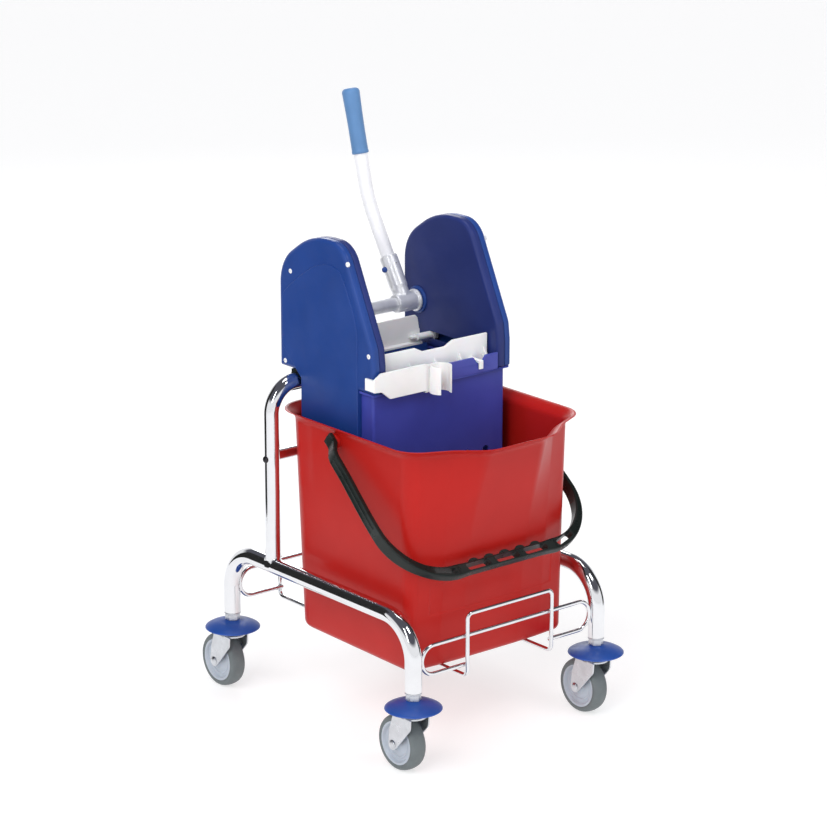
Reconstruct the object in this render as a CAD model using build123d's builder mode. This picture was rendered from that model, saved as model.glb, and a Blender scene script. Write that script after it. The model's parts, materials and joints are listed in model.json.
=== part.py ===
from build123d import *
import math
import os

os.makedirs("parts", exist_ok=True)

# Frame: +X forward towards the free end of the bucket, +Y left, +Z up.
# The origin is on the floor, below the middle of the trolley. Millimetres.

# Trolley
FRONT_X = 218.0
REAR_X = -194.0
TRACK_Y = 168.0
SIDE_R = 12.0
SIDE_WALL = 1.5
SIDE_Z = 217.0
SIDE_BEND = 57.0
LEG_Z = 119.0
HOOP_X = -94.0
HOOP_R = 11.0
HOOP_Z = 482.0
HOOP_BEND = 42.0
BAR_X = -102.0
BAR_Z = 376.0
BAR_R = 8.0
WIRE_R = 3.0
RACK_TOP_Z = 179.0
RACK_LOW_Z = 137.0
CRADLE_Y = 77.0
CRADLE_Z = 121.5
CRADLE_TOP_Z = 212.0
WELD = 0.4

# Castors
WHEEL_R = 40.0
TYRE_HALF = 12.5
HUB_R = 31.0
TRAIL = 24.0
AXLE_R = 4.0
RUN = 0.05
FORK_IN = 15.2
FORK_OUT = 17.8
CROWN_LOW = 83.0
CROWN_TOP = 90.0
BUMPER_R = 40.0

# Bucket
BASE_Z = 125.0
RIM_Z = 448.0
BUCKET_WALL = 3.0
LIP = 14.0
BAIL_X = 23.0
BAIL_Z = 425.0
STUD_R = 5.0

# Wringer
AXLE_X = -96.0
AXLE_Z = 562.0
SHELL_IN = 100.0
SHELL_SPLIT = 113.0
SHELL_OUT = 125.0
SHELL_T = 3.0
SHELL_Z = 497.0
BODY_REAR = -82.6
BODY_FRONT = 72.0
BODY_HALF = 118.5
BODY_LOW = 255.0
COLLAR_X = 80.0
COLLAR_TOP = 520.0
CAM_START = 30.0
CAM_TRAVEL = 60.0
LEVER_SWING = 80.0
PIN_Z = 515.0
JAW_LOW_Z = 300.0
TUBE_R = 10.0
LEAN = 31.0

CORNERS = {
    "front_left": (FRONT_X, TRACK_Y),
    "front_right": (FRONT_X, -TRACK_Y),
    "rear_left": (REAR_X, TRACK_Y),
    "rear_right": (REAR_X, -TRACK_Y),
}
SIDES = {"left": 1, "right": -1}


def save(builder, name):
    builder.part.label = name
    export_step(builder.part, f"parts/{name}.step")


def bent_bar(points, bend, radius, wall=0.0):
    """Round bar or tube along a polyline with rounded bends."""
    with BuildPart() as bar:
        with BuildLine() as path:
            FilletPolyline(*points, radius=bend)
        with BuildSketch(Plane(origin=path.line @ 0, z_dir=path.line % 0)):
            Circle(radius)
            if wall > 0:
                Circle(radius - wall, mode=Mode.SUBTRACT)
        sweep()
    return bar


# ---------------------------------------------------------------- trolley frame
def side_points(y):
    return [(REAR_X, y, LEG_Z), (REAR_X, y, SIDE_Z), (FRONT_X, y, SIDE_Z), (FRONT_X, y, LEG_Z)]


for side, sign in SIDES.items():
    side_frame = bent_bar(side_points(sign * TRACK_Y), SIDE_BEND, SIDE_R, SIDE_WALL)
    save(side_frame, f"side_frame_{side}")

# Hoop that carries the wringer; its feet are coped to sit on the side tubes.
hoop_points = [
    (HOOP_X, -TRACK_Y, SIDE_Z),
    (HOOP_X, -TRACK_Y, HOOP_Z),
    (HOOP_X, TRACK_Y, HOOP_Z),
    (HOOP_X, TRACK_Y, SIDE_Z),
]
hoop = bent_bar(hoop_points, HOOP_BEND, HOOP_R, SIDE_WALL)
with hoop:
    for y in (-TRACK_Y, TRACK_Y):
        with Locations(Location((HOOP_X, y, SIDE_Z), (0, 90, 0))):
            Cylinder(SIDE_R, 80, mode=Mode.SUBTRACT)
save(hoop, "wringer_hoop")

# Bar across the back of the bucket, set behind the uprights and coped to them.
with BuildPart() as crossbar:
    with Locations(Location((BAR_X, 0, BAR_Z), (90, 0, 0))):
        Cylinder(BAR_R, 2 * (TRACK_Y - 7))
        Cylinder(BAR_R - 1.5, 2 * TRACK_Y, mode=Mode.SUBTRACT)
    with Locations((HOOP_X, TRACK_Y, BAR_Z), (HOOP_X, -TRACK_Y, BAR_Z)):
        Cylinder(HOOP_R - WELD, 60, mode=Mode.SUBTRACT)
save(crossbar, "hoop_crossbar")

# Button-head screws on the outside of the hoop, one on each upright.
with BuildPart() as hoop_screws:
    for sign in (1, -1):
        y = sign * (TRACK_Y + HOOP_R)
        with Locations(Location((HOOP_X, y, BAR_Z), (-90 * sign, 0, 0))):
            Cylinder(5.0, 3.5, align=(Align.CENTER, Align.CENTER, Align.MIN))
    fillet(hoop_screws.edges().group_by(Axis.Y)[-1], 1.6)
    fillet(hoop_screws.edges().group_by(Axis.Y)[0], 1.6)
save(hoop_screws, "hoop_screws")


def rack(x):
    """End rack: a wire with half-round ends, open along the bottom between the cradle wires."""
    end_r = (RACK_TOP_Z - RACK_LOW_Z) / 2
    end_y = TRACK_Y - SIDE_R - WIRE_R + WELD - end_r
    mid_z = (RACK_TOP_Z + RACK_LOW_Z) / 2
    with BuildPart() as wire:
        with BuildLine() as path:
            Line((x, -CRADLE_Y, RACK_LOW_Z), (x, -end_y, RACK_LOW_Z))
            ThreePointArc(
                (x, -end_y, RACK_LOW_Z),
                (x, -end_y - end_r, mid_z),
                (x, -end_y, RACK_TOP_Z),
            )
            Line((x, -end_y, RACK_TOP_Z), (x, end_y, RACK_TOP_Z))
            ThreePointArc(
                (x, end_y, RACK_TOP_Z),
                (x, end_y + end_r, mid_z),
                (x, end_y, RACK_LOW_Z),
            )
            Line((x, end_y, RACK_LOW_Z), (x, CRADLE_Y, RACK_LOW_Z))
        with BuildSketch(Plane(origin=(x, -CRADLE_Y, RACK_LOW_Z), z_dir=(0, -1, 0))):
            Circle(WIRE_R)
        sweep()
    return wire


save(rack(FRONT_X), "front_rack")
save(rack(REAR_X), "rear_rack")

# One bent wire: up the rear rack, under the bucket, over the raised front loop and back.
cradle_front = FRONT_X + 2 * WIRE_R - WELD
cradle_rear = REAR_X - 2 * WIRE_R + WELD
cradle_points = [
    (cradle_rear, -CRADLE_Y, RACK_TOP_Z + 4),
    (cradle_rear, -CRADLE_Y, CRADLE_Z),
    (cradle_front, -CRADLE_Y, CRADLE_Z),
    (cradle_front, -CRADLE_Y, CRADLE_TOP_Z),
    (cradle_front, CRADLE_Y, CRADLE_TOP_Z),
    (cradle_front, CRADLE_Y, CRADLE_Z),
    (cradle_rear, CRADLE_Y, CRADLE_Z),
    (cradle_rear, CRADLE_Y, RACK_TOP_Z + 4),
]
save(bent_bar(cradle_points, 8, WIRE_R), "cradle_wire")

# ---------------------------------------------------------------------- castors
# Threaded plugs in the four legs.
with BuildPart() as leg_plugs:
    for x, y in CORNERS.values():
        with Locations((x, y, LEG_Z)):
            Cylinder(
                SIDE_R - SIDE_WALL, 24, align=(Align.CENTER, Align.CENTER, Align.MIN)
            )
        with Locations((x, y, LEG_Z - 2)):
            Cylinder(SIDE_R, 2, align=(Align.CENTER, Align.CENTER, Align.MIN))
        with Locations((x, y, LEG_Z - 2)):
            Cylinder(
                6, 26, align=(Align.CENTER, Align.CENTER, Align.MIN), mode=Mode.SUBTRACT
            )
save(leg_plugs, "leg_plugs")

# Lock nuts between the plugs and the bumpers.
with BuildPart() as stem_nuts:
    for x, y in CORNERS.values():
        with BuildSketch(Plane.XY.offset(108)):
            with Locations((x, y)):
                RegularPolygon(9.5, 6, major_radius=False)
                Circle(6, mode=Mode.SUBTRACT)
        extrude(amount=9)
save(stem_nuts, "stem_nuts")

for corner, (cx, cy) in CORNERS.items():
    # Wall bumper: a shallow dome with a downturned edge.
    with BuildPart() as bumper:
        with BuildSketch(Plane.XZ):
            with BuildLine():
                Polyline((6, 108), (11, 108), (14, 106.6))
                Spline(
                    (14, 106.6), (28, 103.5), (39, 98.5),
                    tangents=[(1, -0.35), (0.75, -0.66)],
                )
                Polyline((39, 98.5), (BUMPER_R, 96.5), (39, 95.5), (36, 96.6))
                Spline(
                    (36, 96.6), (27, 100.6), (14, 103.2),
                    tangents=[(-0.75, 0.66), (-1, 0.2)],
                )
                Polyline((14, 103.2), (14, 97), (6, 97), (6, 108))
            make_face()
        revolve(axis=Axis.Z)
    bumper.part.position = (cx, cy, 0)
    save(bumper, f"bumper_{corner}")

    # Fixed upper half of the castor: stem, race cap, king pin and its rivet head.
    with BuildPart() as castor_head:
        with BuildSketch(Plane.XZ):
            with BuildLine():
                Polyline(
                    (0, 79.6), (7, 79.6), (8, 81), (8, 82.8), (5, 82.8), (5, 90.2),
                    (17, 90.2), (18.5, 92.5), (15, 97), (6, 97), (6, 138), (0, 138),
                    close=True,
                )
            make_face()
        revolve(axis=Axis.Z)
    castor_head.part.position = (cx, cy, 0)
    save(castor_head, f"castor_head_{corner}")

    ax = cx - TRAIL
    # Fork: crown plate with two tapered cheeks down to the wheel axle.
    with BuildPart() as fork:
        with BuildSketch(Plane.XY.offset(CROWN_LOW)):
            with Locations((cx, cy)):
                Circle(FORK_OUT + 1)
            with Locations((cx - 8, cy)):
                Rectangle(30, 2 * FORK_OUT)
        extrude(amount=CROWN_TOP - CROWN_LOW)
        for sign in (1, -1):
            inner = FORK_IN if sign > 0 else -FORK_OUT
            with BuildSketch(Plane.XZ.offset(-(cy + inner))):
                with BuildLine():
                    Polyline(
                        (cx - 23, CROWN_LOW + 2),
                        (cx + 15, CROWN_LOW + 2),
                        (cx + 14, 70),
                        (ax + 8.6, 37),
                        (ax + 3, 31.5),
                        (ax - 5, 32.2),
                        (ax - 9, 40),
                        (ax - 6.5, 62),
                        close=True,
                    )
                make_face()
            extrude(amount=-(FORK_OUT - FORK_IN))
        with Locations(Location((ax, cy, WHEEL_R), (90, 0, 0))):
            Cylinder(AXLE_R, 60, mode=Mode.SUBTRACT)
        with Locations((cx, cy, CROWN_LOW)):
            Cylinder(5 + RUN, 20, mode=Mode.SUBTRACT)
    save(fork, f"fork_{corner}")

    # Axle bolt with a domed head on one side and a nut on the other.
    with BuildPart() as wheel_axle:
        with Locations(Location((ax, cy, WHEEL_R), (90, 0, 0))):
            Cylinder(AXLE_R, 2 * FORK_OUT)
        with Locations(Location((ax, cy - FORK_OUT, WHEEL_R), (90, 0, 0))):
            Cylinder(6.5, 3.4, align=(Align.CENTER, Align.CENTER, Align.MIN))
        fillet(wheel_axle.edges().group_by(Axis.Y)[0], 1.8)
        with BuildSketch(Plane(origin=(ax, cy + FORK_OUT, WHEEL_R), z_dir=(0, 1, 0))):
            RegularPolygon(6.5, 6, major_radius=False)
        extrude(amount=5)
    save(wheel_axle, f"wheel_axle_{corner}")

    # Wheel centre: rim, web with two ribs and a bored boss.
    with BuildPart() as wheel_hub:
        with BuildSketch(Plane.XZ):
            with BuildLine():
                Polyline(
                    (AXLE_R + RUN, -14.8), (9, -14.8), (10, -12), (13, -9.5), (19, -8),
                    (20, -9), (21.5, -9), (22.5, -8), (26, -8), (28, -11.5),
                    (HUB_R, -11.5), (HUB_R, 11.5), (28, 11.5), (26, 8), (22.5, 8),
                    (21.5, 9), (20, 9), (19, 8), (13, 9.5), (10, 12), (9, 14.8),
                    (AXLE_R + RUN, 14.8), close=True,
                )
            make_face()
        revolve(axis=Axis.Z)
    wheel_hub.part.location = Location((ax, cy, WHEEL_R), (90, 0, 0))
    save(wheel_hub, f"wheel_hub_{corner}")

    with BuildPart() as tyre:
        with BuildSketch(Plane.XZ):
            with BuildLine():
                Polyline(
                    (HUB_R, -11.5), (33, -12.5), (35.5, -12.2), (38.4, -9.5), (39.7, -5),
                    (WHEEL_R, -1.5), (WHEEL_R, 1.5), (39.7, 5), (38.4, 9.5), (35.5, 12.2),
                    (33, 12.5), (HUB_R, 11.5), close=True,
                )
            make_face()
        revolve(axis=Axis.Z)
    tyre.part.location = Location((ax, cy, WHEEL_R), (90, 0, 0))
    save(tyre, f"tyre_{corner}")

# ----------------------------------------------------------------------- bucket
# Half outline, rear corner first, as the corners of a polygon: at the base, at the
# rim without the pouring bulge, and at the rim with it. The radii round the corners.
HALF_BASE = [(-83, 135), (175, 141), (179.5, 92), (181, 50)]
HALF_PLAIN = [(-93, 145), (181.3, 145), (205.5, 92), (210, 56)]
HALF_BULGE = [(-93, 145), (181.3, 145), (206.5, 92), (238, 52)]
ROUND_BASE = [30, 12, 40, 30]
ROUND_RIM = [35, 32, 45, 28]


def bucket_corners(z):
    """Corners and radii of the outline at height z, from rear left round to rear right."""
    grow = (z - BASE_Z) / (RIM_Z - BASE_Z)
    bulge = max(0.0, (z - 270) / (RIM_Z - 270)) ** 1.5
    half = []
    for base, plain, full in zip(HALF_BASE, HALF_PLAIN, HALF_BULGE):
        x = base[0] + grow * (plain[0] - base[0]) + bulge * (full[0] - plain[0])
        y = base[1] + grow * (plain[1] - base[1]) + bulge * (full[1] - plain[1])
        half.append((x, y))
    radii = [low + grow * (high - low) for low, high in zip(ROUND_BASE, ROUND_RIM)]
    return half + [(x, -y) for x, y in reversed(half)], radii + radii[::-1]


def inset_corners(points, inset):
    """Corners of the same polygon with every side moved inwards by inset."""
    sides = []
    for i, (x, y) in enumerate(points):
        dx = points[(i + 1) % len(points)][0] - x
        dy = points[(i + 1) % len(points)][1] - y
        size = math.hypot(dx, dy)
        sides.append((x + inset * dy / size, y - inset * dx / size, dx, dy))
    moved = []
    for i, (x, y, dx, dy) in enumerate(sides):
        px, py, pdx, pdy = sides[i - 1]
        along = ((x - px) * dy - (y - py) * dx) / (pdx * dy - pdy * dx)
        moved.append((px + along * pdx, py + along * pdy))
    return moved


def bucket_outline(z, inset):
    """Sketch of the bucket's outline at height z, moved inwards by inset."""
    points, radii = bucket_corners(z)
    corners = inset_corners(points, inset)
    with BuildSketch(Plane.XY.offset(z)) as outline:
        with BuildLine():
            Polyline(*corners, close=True)
        make_face()
        for i, (x, y) in enumerate(corners):
            hollow = i in (2, 5) and z > 300
            radius = radii[i] + inset if hollow else max(radii[i] - inset, 4)
            fillet(outline.vertices().sort_by_distance((x, y, 0))[0], radius)
    return outline.sketch


def bucket_solid(stations):
    """Ruled loft through (height, inset) stations."""
    with BuildPart() as solid:
        for z, inset in stations:
            add(bucket_outline(z, inset))
        loft(ruled=True)
    return solid.part


outside = [(BASE_Z, 8), (127.5, 3), (134, 0), (270, 0), (320, 0), (370, 0), (415, 0)]
outside += [(436, 0), (441, -4), (445, -9), (RIM_Z, -LIP)]
inside = [(BASE_Z + BUCKET_WALL, 10), (132, 6), (139, BUCKET_WALL), (270, BUCKET_WALL)]
inside += [(320, BUCKET_WALL), (370, BUCKET_WALL), (415, BUCKET_WALL), (438, BUCKET_WALL)]
inside += [(443.5, -1.5), (RIM_Z + 0.6, -LIP + 3)]
outer_solid = bucket_solid(outside)
inner_solid = bucket_solid(inside)
with BuildPart() as bucket:
    add(outer_solid)
    add(inner_solid, mode=Mode.SUBTRACT)
save(bucket, "bucket")

# Bosses for the bail, pressed into the side walls, with round studs.
with BuildPart() as bail_studs:
    for sign in (1, -1):
        with Locations(Location((BAIL_X, sign * 142.6, BAIL_Z), (-90 * sign, 0, 0))):
            Cylinder(11, 7.9, align=(Align.CENTER, Align.CENTER, Align.MIN))
            Cylinder(STUD_R, 15.4, align=(Align.CENTER, Align.CENTER, Align.MIN))
save(bail_studs, "bail_studs")

# ------------------------------------------------------------------------- bail
# Drawn lying flat, pivots on the Y axis, then turned to hang down in front.
BAIL_HANG = 38.7
BAIL_W = 20.0
BAIL_HALF = 176.0
GRIP_OUT = 253.0
GRIP_IN = 236.0
BOW_START = 140.0

with BuildPart() as bail:
    with BuildSketch():
        for sign in (1, -1):
            with BuildLine():
                Polyline(
                    (-9, sign * 151), (7, sign * 151), (20, sign * 161), (60, sign * 163),
                    (BOW_START + 1, sign * 170), (BOW_START + 1, sign * 176),
                    (58, sign * 169.5), (17, sign * 167.5), (5, sign * 157), (-9, sign * 157),
                    close=True,
                )
            make_face()
    extrude(amount=BAIL_W / 2, both=True)
    # Rounded bow that joins the arms.
    with BuildSketch():
        with BuildLine():
            FilletPolyline(
                (BOW_START, -BAIL_HALF), (GRIP_OUT, -BAIL_HALF),
                (GRIP_OUT, BAIL_HALF), (BOW_START, BAIL_HALF),
                radius=92,
            )
            Line((BOW_START, BAIL_HALF), (BOW_START, BAIL_HALF - 6))
            FilletPolyline(
                (BOW_START, BAIL_HALF - 6), (GRIP_IN, BAIL_HALF - 6),
                (GRIP_IN, 6 - BAIL_HALF), (BOW_START, 6 - BAIL_HALF),
                radius=77,
            )
            Line((BOW_START, 6 - BAIL_HALF), (BOW_START, -BAIL_HALF))
        make_face()
    extrude(amount=BAIL_W / 2, both=True)
    # The grip is a ladder: windows through it and finger bumps on the inner edge.
    with BuildSketch():
        with GridLocations(0, 52, 1, 3):
            with Locations(((GRIP_IN + GRIP_OUT) / 2, 0)):
                RectangleRounded(10.4, 41, 3.5)
        with Locations(Location((240.2, 104, 0), (0, 0, 17))):
            RectangleRounded(8, 34, 3.5)
        with Locations(Location((240.2, -104, 0), (0, 0, -17))):
            RectangleRounded(8, 34, 3.5)
    extrude(amount=BAIL_W, both=True, mode=Mode.SUBTRACT)
    with BuildSketch():
        with GridLocations(0, 28, 1, 5):
            with Locations((GRIP_IN, 0)):
                Ellipse(4.5, 8)
        with Locations(((GRIP_IN + GRIP_OUT) / 2, 0)):
            with GridLocations(0, 52, 1, 3):
                RectangleRounded(10.4, 41, 3.5, mode=Mode.SUBTRACT)
    extrude(amount=6, both=True)
    # Thin the grip to a flat section.
    with Locations((GRIP_IN, 0, 6.5), (GRIP_IN, 0, -16.5)):
        Box(60, 250, 10, align=(Align.CENTER, Align.CENTER, Align.MIN), mode=Mode.SUBTRACT)
    # Round eyes at the pivots.
    for sign in (1, -1):
        with Locations(Location((0, sign * 151, 0), (-90 * sign, 0, 0))):
            Cylinder(BAIL_W / 2, 6, align=(Align.CENTER, Align.CENTER, Align.MIN))
    for sign in (1, -1):
        with Locations(Location((0, sign * 150, 0), (-90 * sign, 0, 0))):
            Cylinder(
                STUD_R + RUN, 8, align=(Align.CENTER, Align.CENTER, Align.MIN),
                mode=Mode.SUBTRACT,
            )
        with Locations((-9, sign * 154, 0)):
            with Locations((0, 0, 10), (0, 0, -10)):
                Box(8, 8, 8, mode=Mode.SUBTRACT)
bail.part.location = Location((BAIL_X, 0, BAIL_Z), (0, BAIL_HANG, 0))
save(bail, "bail")

# ---------------------------------------------------------------- wringer basket
with BuildPart() as basket:
    mid_x = (BODY_REAR + BODY_FRONT) / 2
    length = BODY_FRONT - BODY_REAR
    with Locations((mid_x, 0, BODY_LOW)):
        Box(length, 2 * BODY_HALF, SHELL_Z - BODY_LOW, align=(Align.CENTER, Align.CENTER, Align.MIN))
    fillet(basket.edges().filter_by(Axis.Z), 4)
    with Locations((mid_x, 0, BODY_LOW + 3)):
        Box(
            length - 6, 2 * BODY_HALF - 6, SHELL_Z,
            align=(Align.CENTER, Align.CENTER, Align.MIN), mode=Mode.SUBTRACT,
        )
    # The rear wall stops below the hoop.
    with Locations((BODY_REAR, 0, 466)):
        Box(8, 2 * BODY_HALF - 8, 60, align=(Align.CENTER, Align.CENTER, Align.MIN),
            mode=Mode.SUBTRACT)
    # Ledge under the side housings and the collar across the front.
    with BuildSketch(Plane.XY.offset(SHELL_Z - 3.2)):
        with Locations(((BODY_REAR + COLLAR_X) / 2, 0)):
            Rectangle(COLLAR_X - BODY_REAR, 2 * SHELL_OUT)
        with Locations(((BODY_REAR - 5 + BODY_FRONT - 3) / 2, 0)):
            Rectangle(BODY_FRONT - 3 - BODY_REAR + 5, 2 * SHELL_IN, mode=Mode.SUBTRACT)
    extrude(amount=3)
    with BuildSketch(Plane.YZ.offset(COLLAR_X - 3.5)):
        with BuildLine():
            Polyline(
                (-SHELL_IN + 0.4, SHELL_Z - 1), (-SHELL_IN + 0.4, COLLAR_TOP),
                (-78, COLLAR_TOP), (-71, COLLAR_TOP - 9.5), (-62, COLLAR_TOP - 9.5),
                (-55, COLLAR_TOP), (55, COLLAR_TOP), (62, COLLAR_TOP - 9.5),
                (71, COLLAR_TOP - 9.5), (78, COLLAR_TOP), (SHELL_IN - 0.4, COLLAR_TOP),
                (SHELL_IN - 0.4, SHELL_Z - 1), close=True,
            )
        make_face()
    extrude(amount=3.5)
    # Raised side panels that carry the housing covers' line down into the bucket.
    for sign in (1, -1):
        with Locations((-17, sign * (SHELL_OUT - 3.5), 447)):
            Box(126, 6.6, 94)
        with Locations((-17, sign * (SHELL_OUT - 6.5), 446)):
            Box(120, 6.6, 89, mode=Mode.SUBTRACT)
    # Drain slots through the floor and the foot of the front wall.
    with BuildSketch(Plane.XY.offset(BODY_LOW - 1)):
        with Locations((mid_x, 0)):
            with GridLocations(30, 44, 4, 5):
                SlotOverall(34, 9, rotation=90)
    extrude(amount=6, mode=Mode.SUBTRACT)
    with BuildSketch(Plane.YZ.offset(BODY_FRONT + 2)):
        with Locations((0, 355)):
            with GridLocations(34, 0, 6, 1):
                SlotOverall(60, 12, rotation=90)
    extrude(amount=-8, mode=Mode.SUBTRACT)
    # Guide slots for the lower pins of the press plate.
    with BuildSketch(Plane.XZ):
        with Locations((-28 + CAM_TRAVEL / 2, JAW_LOW_Z)):
            SlotOverall(CAM_TRAVEL + 11, 11)
    extrude(amount=130, both=True, mode=Mode.SUBTRACT)
save(basket, "wringer_basket")

# -------------------------------------------------------------- side housings
SHELL_POINTS = [
    (-130, SHELL_Z), (-130, 650), (-60, 697), (12, 697), (77, 561), (COLLAR_X, 535),
    (COLLAR_X, SHELL_Z),
]
SHELL_BENDS = [0, 60, 115, 40, 30, 15, 0]


def shell_slab(sign, near, far, inset):
    """Solid slab of a housing's side outline between two distances from the middle plane."""
    start = far if sign > 0 else -near
    with BuildPart() as slab:
        with BuildSketch(Plane.XZ.offset(-start)) as face:
            with BuildLine():
                Polyline(*SHELL_POINTS, close=True)
            make_face()
            for (x, z), radius in zip(SHELL_POINTS, SHELL_BENDS):
                if radius > 0:
                    corner_point = face.vertices().sort_by_distance((x, z, 0))[0]
                    fillet(corner_point, radius)
            if inset > 0:
                offset(amount=-inset, mode=Mode.REPLACE)
        extrude(amount=far - near)
    return slab.part


# Screw places on the covers: rear top, front top, front bottom and rear bottom.
SCREWS = [(-103, 638), (24, 671), (70, 551), (-117, 506)]

for side, sign in SIDES.items():
    # Inner half: bore for the axle, slot for the jaw pins.
    slab = shell_slab(sign, SHELL_IN, SHELL_SPLIT, 0)
    cavity = shell_slab(sign, SHELL_IN + SHELL_T, SHELL_SPLIT + 2, SHELL_T)
    with BuildPart() as housing:
        add(slab)
        add(cavity, mode=Mode.SUBTRACT)
        with Locations(Location((AXLE_X, sign * SHELL_IN, AXLE_Z), (90, 0, 0))):
            Cylinder(17.0, 20, mode=Mode.SUBTRACT)
        with BuildSketch(Plane.XZ):
            with Locations((-70 + CAM_TRAVEL / 2, PIN_Z)):
                SlotOverall(CAM_TRAVEL + 11, 11)
        extrude(amount=-sign * 112, mode=Mode.SUBTRACT)
        for x, z in SCREWS:
            with Locations(Location((x, sign * SHELL_IN, z), (-90 * sign, 0, 0))):
                Cylinder(4.2, 13, align=(Align.CENTER, Align.CENTER, Align.MIN))
    save(housing, f"housing_{side}")

    # Outer half: a dished cover with a rounded edge.
    slab = shell_slab(sign, SHELL_SPLIT, SHELL_OUT, 0)
    cavity = shell_slab(sign, SHELL_SPLIT - 2, SHELL_OUT - SHELL_T, SHELL_T)
    with BuildPart() as cover:
        add(slab)
        outer_face = cover.faces().sort_by(Axis.Y)[-1 if sign > 0 else 0]
        fillet(outer_face.edges(), 4)
        add(cavity, mode=Mode.SUBTRACT)
        for x, z in SCREWS:
            with Locations(Location((x, sign * SHELL_SPLIT, z), (-90 * sign, 0, 0))):
                Cylinder(4.2, 10, align=(Align.CENTER, Align.CENTER, Align.MIN))
        for x, z in SCREWS:
            with Locations(Location((x, sign * (SHELL_OUT - 2), z), (-90 * sign, 0, 0))):
                Cylinder(3.4, 4, align=(Align.CENTER, Align.CENTER, Align.MIN),
                         mode=Mode.SUBTRACT)
    save(cover, f"cover_{side}")

    # Bush that carries the axle, with a collar on the inner face.
    with BuildPart() as bush:
        with Locations(Location((AXLE_X, sign * 96.6, AXLE_Z), (-90 * sign, 0, 0))):
            Cylinder(20, 3.2, align=(Align.CENTER, Align.CENTER, Align.MIN))
            Cylinder(16.9, 6.6, align=(Align.CENTER, Align.CENTER, Align.MIN))
            Cylinder(
                TUBE_R + RUN, 8, align=(Align.CENTER, Align.CENTER, Align.MIN),
                mode=Mode.SUBTRACT,
            )
    save(bush, f"axle_bush_{side}")

    # Saddle that hooks over the hoop.
    with BuildPart() as saddle:
        with BuildSketch(Plane.XZ.offset(-sign * 101)):
            with Locations((HOOP_X, HOOP_Z)):
                Circle(HOOP_R + 3.8)
                with Locations((0, 9)):
                    Rectangle(23, 11)
            with Locations((HOOP_X - HOOP_R - 2.2, HOOP_Z - 9)):
                Rectangle(3.2, 18)
            with Locations((HOOP_X, HOOP_Z)):
                Circle(HOOP_R + 0.4, mode=Mode.SUBTRACT)
            with Locations((HOOP_X + 2.2, HOOP_Z - 20)):
                Rectangle(2 * HOOP_R + 5.6, 40, mode=Mode.SUBTRACT)
            with Locations((HOOP_X, HOOP_Z + 24.8)):
                Rectangle(60, 20, mode=Mode.SUBTRACT)
            with Locations((HOOP_X + HOOP_R + 10.4, HOOP_Z)):
                Rectangle(20, 60, mode=Mode.SUBTRACT)
        extrude(amount=-sign * 22)
    save(saddle, f"hoop_saddle_{side}")

# Screws with shallow heads in the covers' recesses.
with BuildPart() as cover_screws:
    for sign in (1, -1):
        for x, z in SCREWS:
            with Locations(Location((x, sign * (SHELL_OUT - 2), z), (-90 * sign, 0, 0))):
                Cylinder(3.3, 2.6, align=(Align.CENTER, Align.CENTER, Align.MIN))
save(cover_screws, "cover_screws")

# ------------------------------------------------------------------ fixed jaw
with BuildPart() as front_jaw:
    with BuildSketch(Plane.XZ.offset(-97)):
        with BuildLine():
            Polyline(
                (60, 545), (56, 545), (56, 500), (47, 330), (51, 330), (60, 500), close=True
            )
        make_face()
    extrude(amount=194)
    # Dip in the middle of the top edge.
    with BuildSketch(Plane.YZ.offset(50)):
        with BuildLine():
            Polyline((-36, 546), (-20, 538), (20, 538), (36, 546), close=True)
        make_face()
    extrude(amount=20, mode=Mode.SUBTRACT)
    for y in (-90, -45, 0, 45, 90):
        with BuildSketch(Plane.XZ.offset(-y - 1.5)):
            with BuildLine():
                Polyline((59.5, 497.3), (75.8, 497.3), (75.8, 501), (59.5, 529), close=True)
            make_face()
        extrude(amount=3)
    # Tabs that hook over the collar in its two notches.
    for sign in (1, -1):
        with Locations((71.5, sign * 66.5, 512.8)):
            Box(24, 7, 4)
        with Locations((82.2, sign * 66.5, 508.5)):
            Box(3, 7, 12.6)
save(front_jaw, "front_jaw")

# --------------------------------------------------------------- moving jaw
# White head with its end pins, and the slotted press plate below it.
with BuildPart() as rear_jaw:
    with BuildSketch(Plane.XZ.offset(-88)):
        with BuildLine():
            Polyline(
                (-81.5, 503), (-72, 503), (-72, 506), (-78, 507.5), (-78, 545), (-81.5, 545),
                close=True,
            )
        make_face()
    extrude(amount=176)
    for sign in (1, -1):
        with BuildSketch(Plane.YZ.offset(-90)):
            with BuildLine():
                Polyline(
                    (sign * 80, 546), (sign * 90, 546), (sign * 90, 524), (sign * 87, 524),
                    (sign * 84, 541), close=True,
                )
            make_face()
        extrude(amount=20, mode=Mode.SUBTRACT)
        with Locations((-74, sign * 79, PIN_Z)):
            Box(9, 24, 3)
        with Locations(Location((-70, sign * 76, PIN_Z), (-90 * sign, 0, 0))):
            Cylinder(5, 32.8, align=(Align.CENTER, Align.CENTER, Align.MIN))
save(rear_jaw, "rear_jaw")

with BuildPart() as press_plate:
    with BuildSketch(Plane.XZ.offset(-98)):
        with BuildLine():
            Polyline(
                (-78.5, 502.9), (-72.5, 502.9), (-72.5, 496), (-24.5, 288), (-28.5, 287),
                (-78.5, 494), close=True,
            )
        make_face()
    extrude(amount=196)
    with BuildSketch(Plane.YZ.offset(-90)):
        with Locations((0, 345), (0, 405), (0, 462)):
            with GridLocations(24, 0, 8, 1):
                SlotOverall(44, 7, rotation=90)
    extrude(amount=80, mode=Mode.SUBTRACT)
    for sign in (1, -1):
        with Locations(Location((-28, sign * 94, JAW_LOW_Z), (-90 * sign, 0, 0))):
            Cylinder(5, 23.4, align=(Align.CENTER, Align.CENTER, Align.MIN))
save(press_plate, "press_plate")

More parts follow.
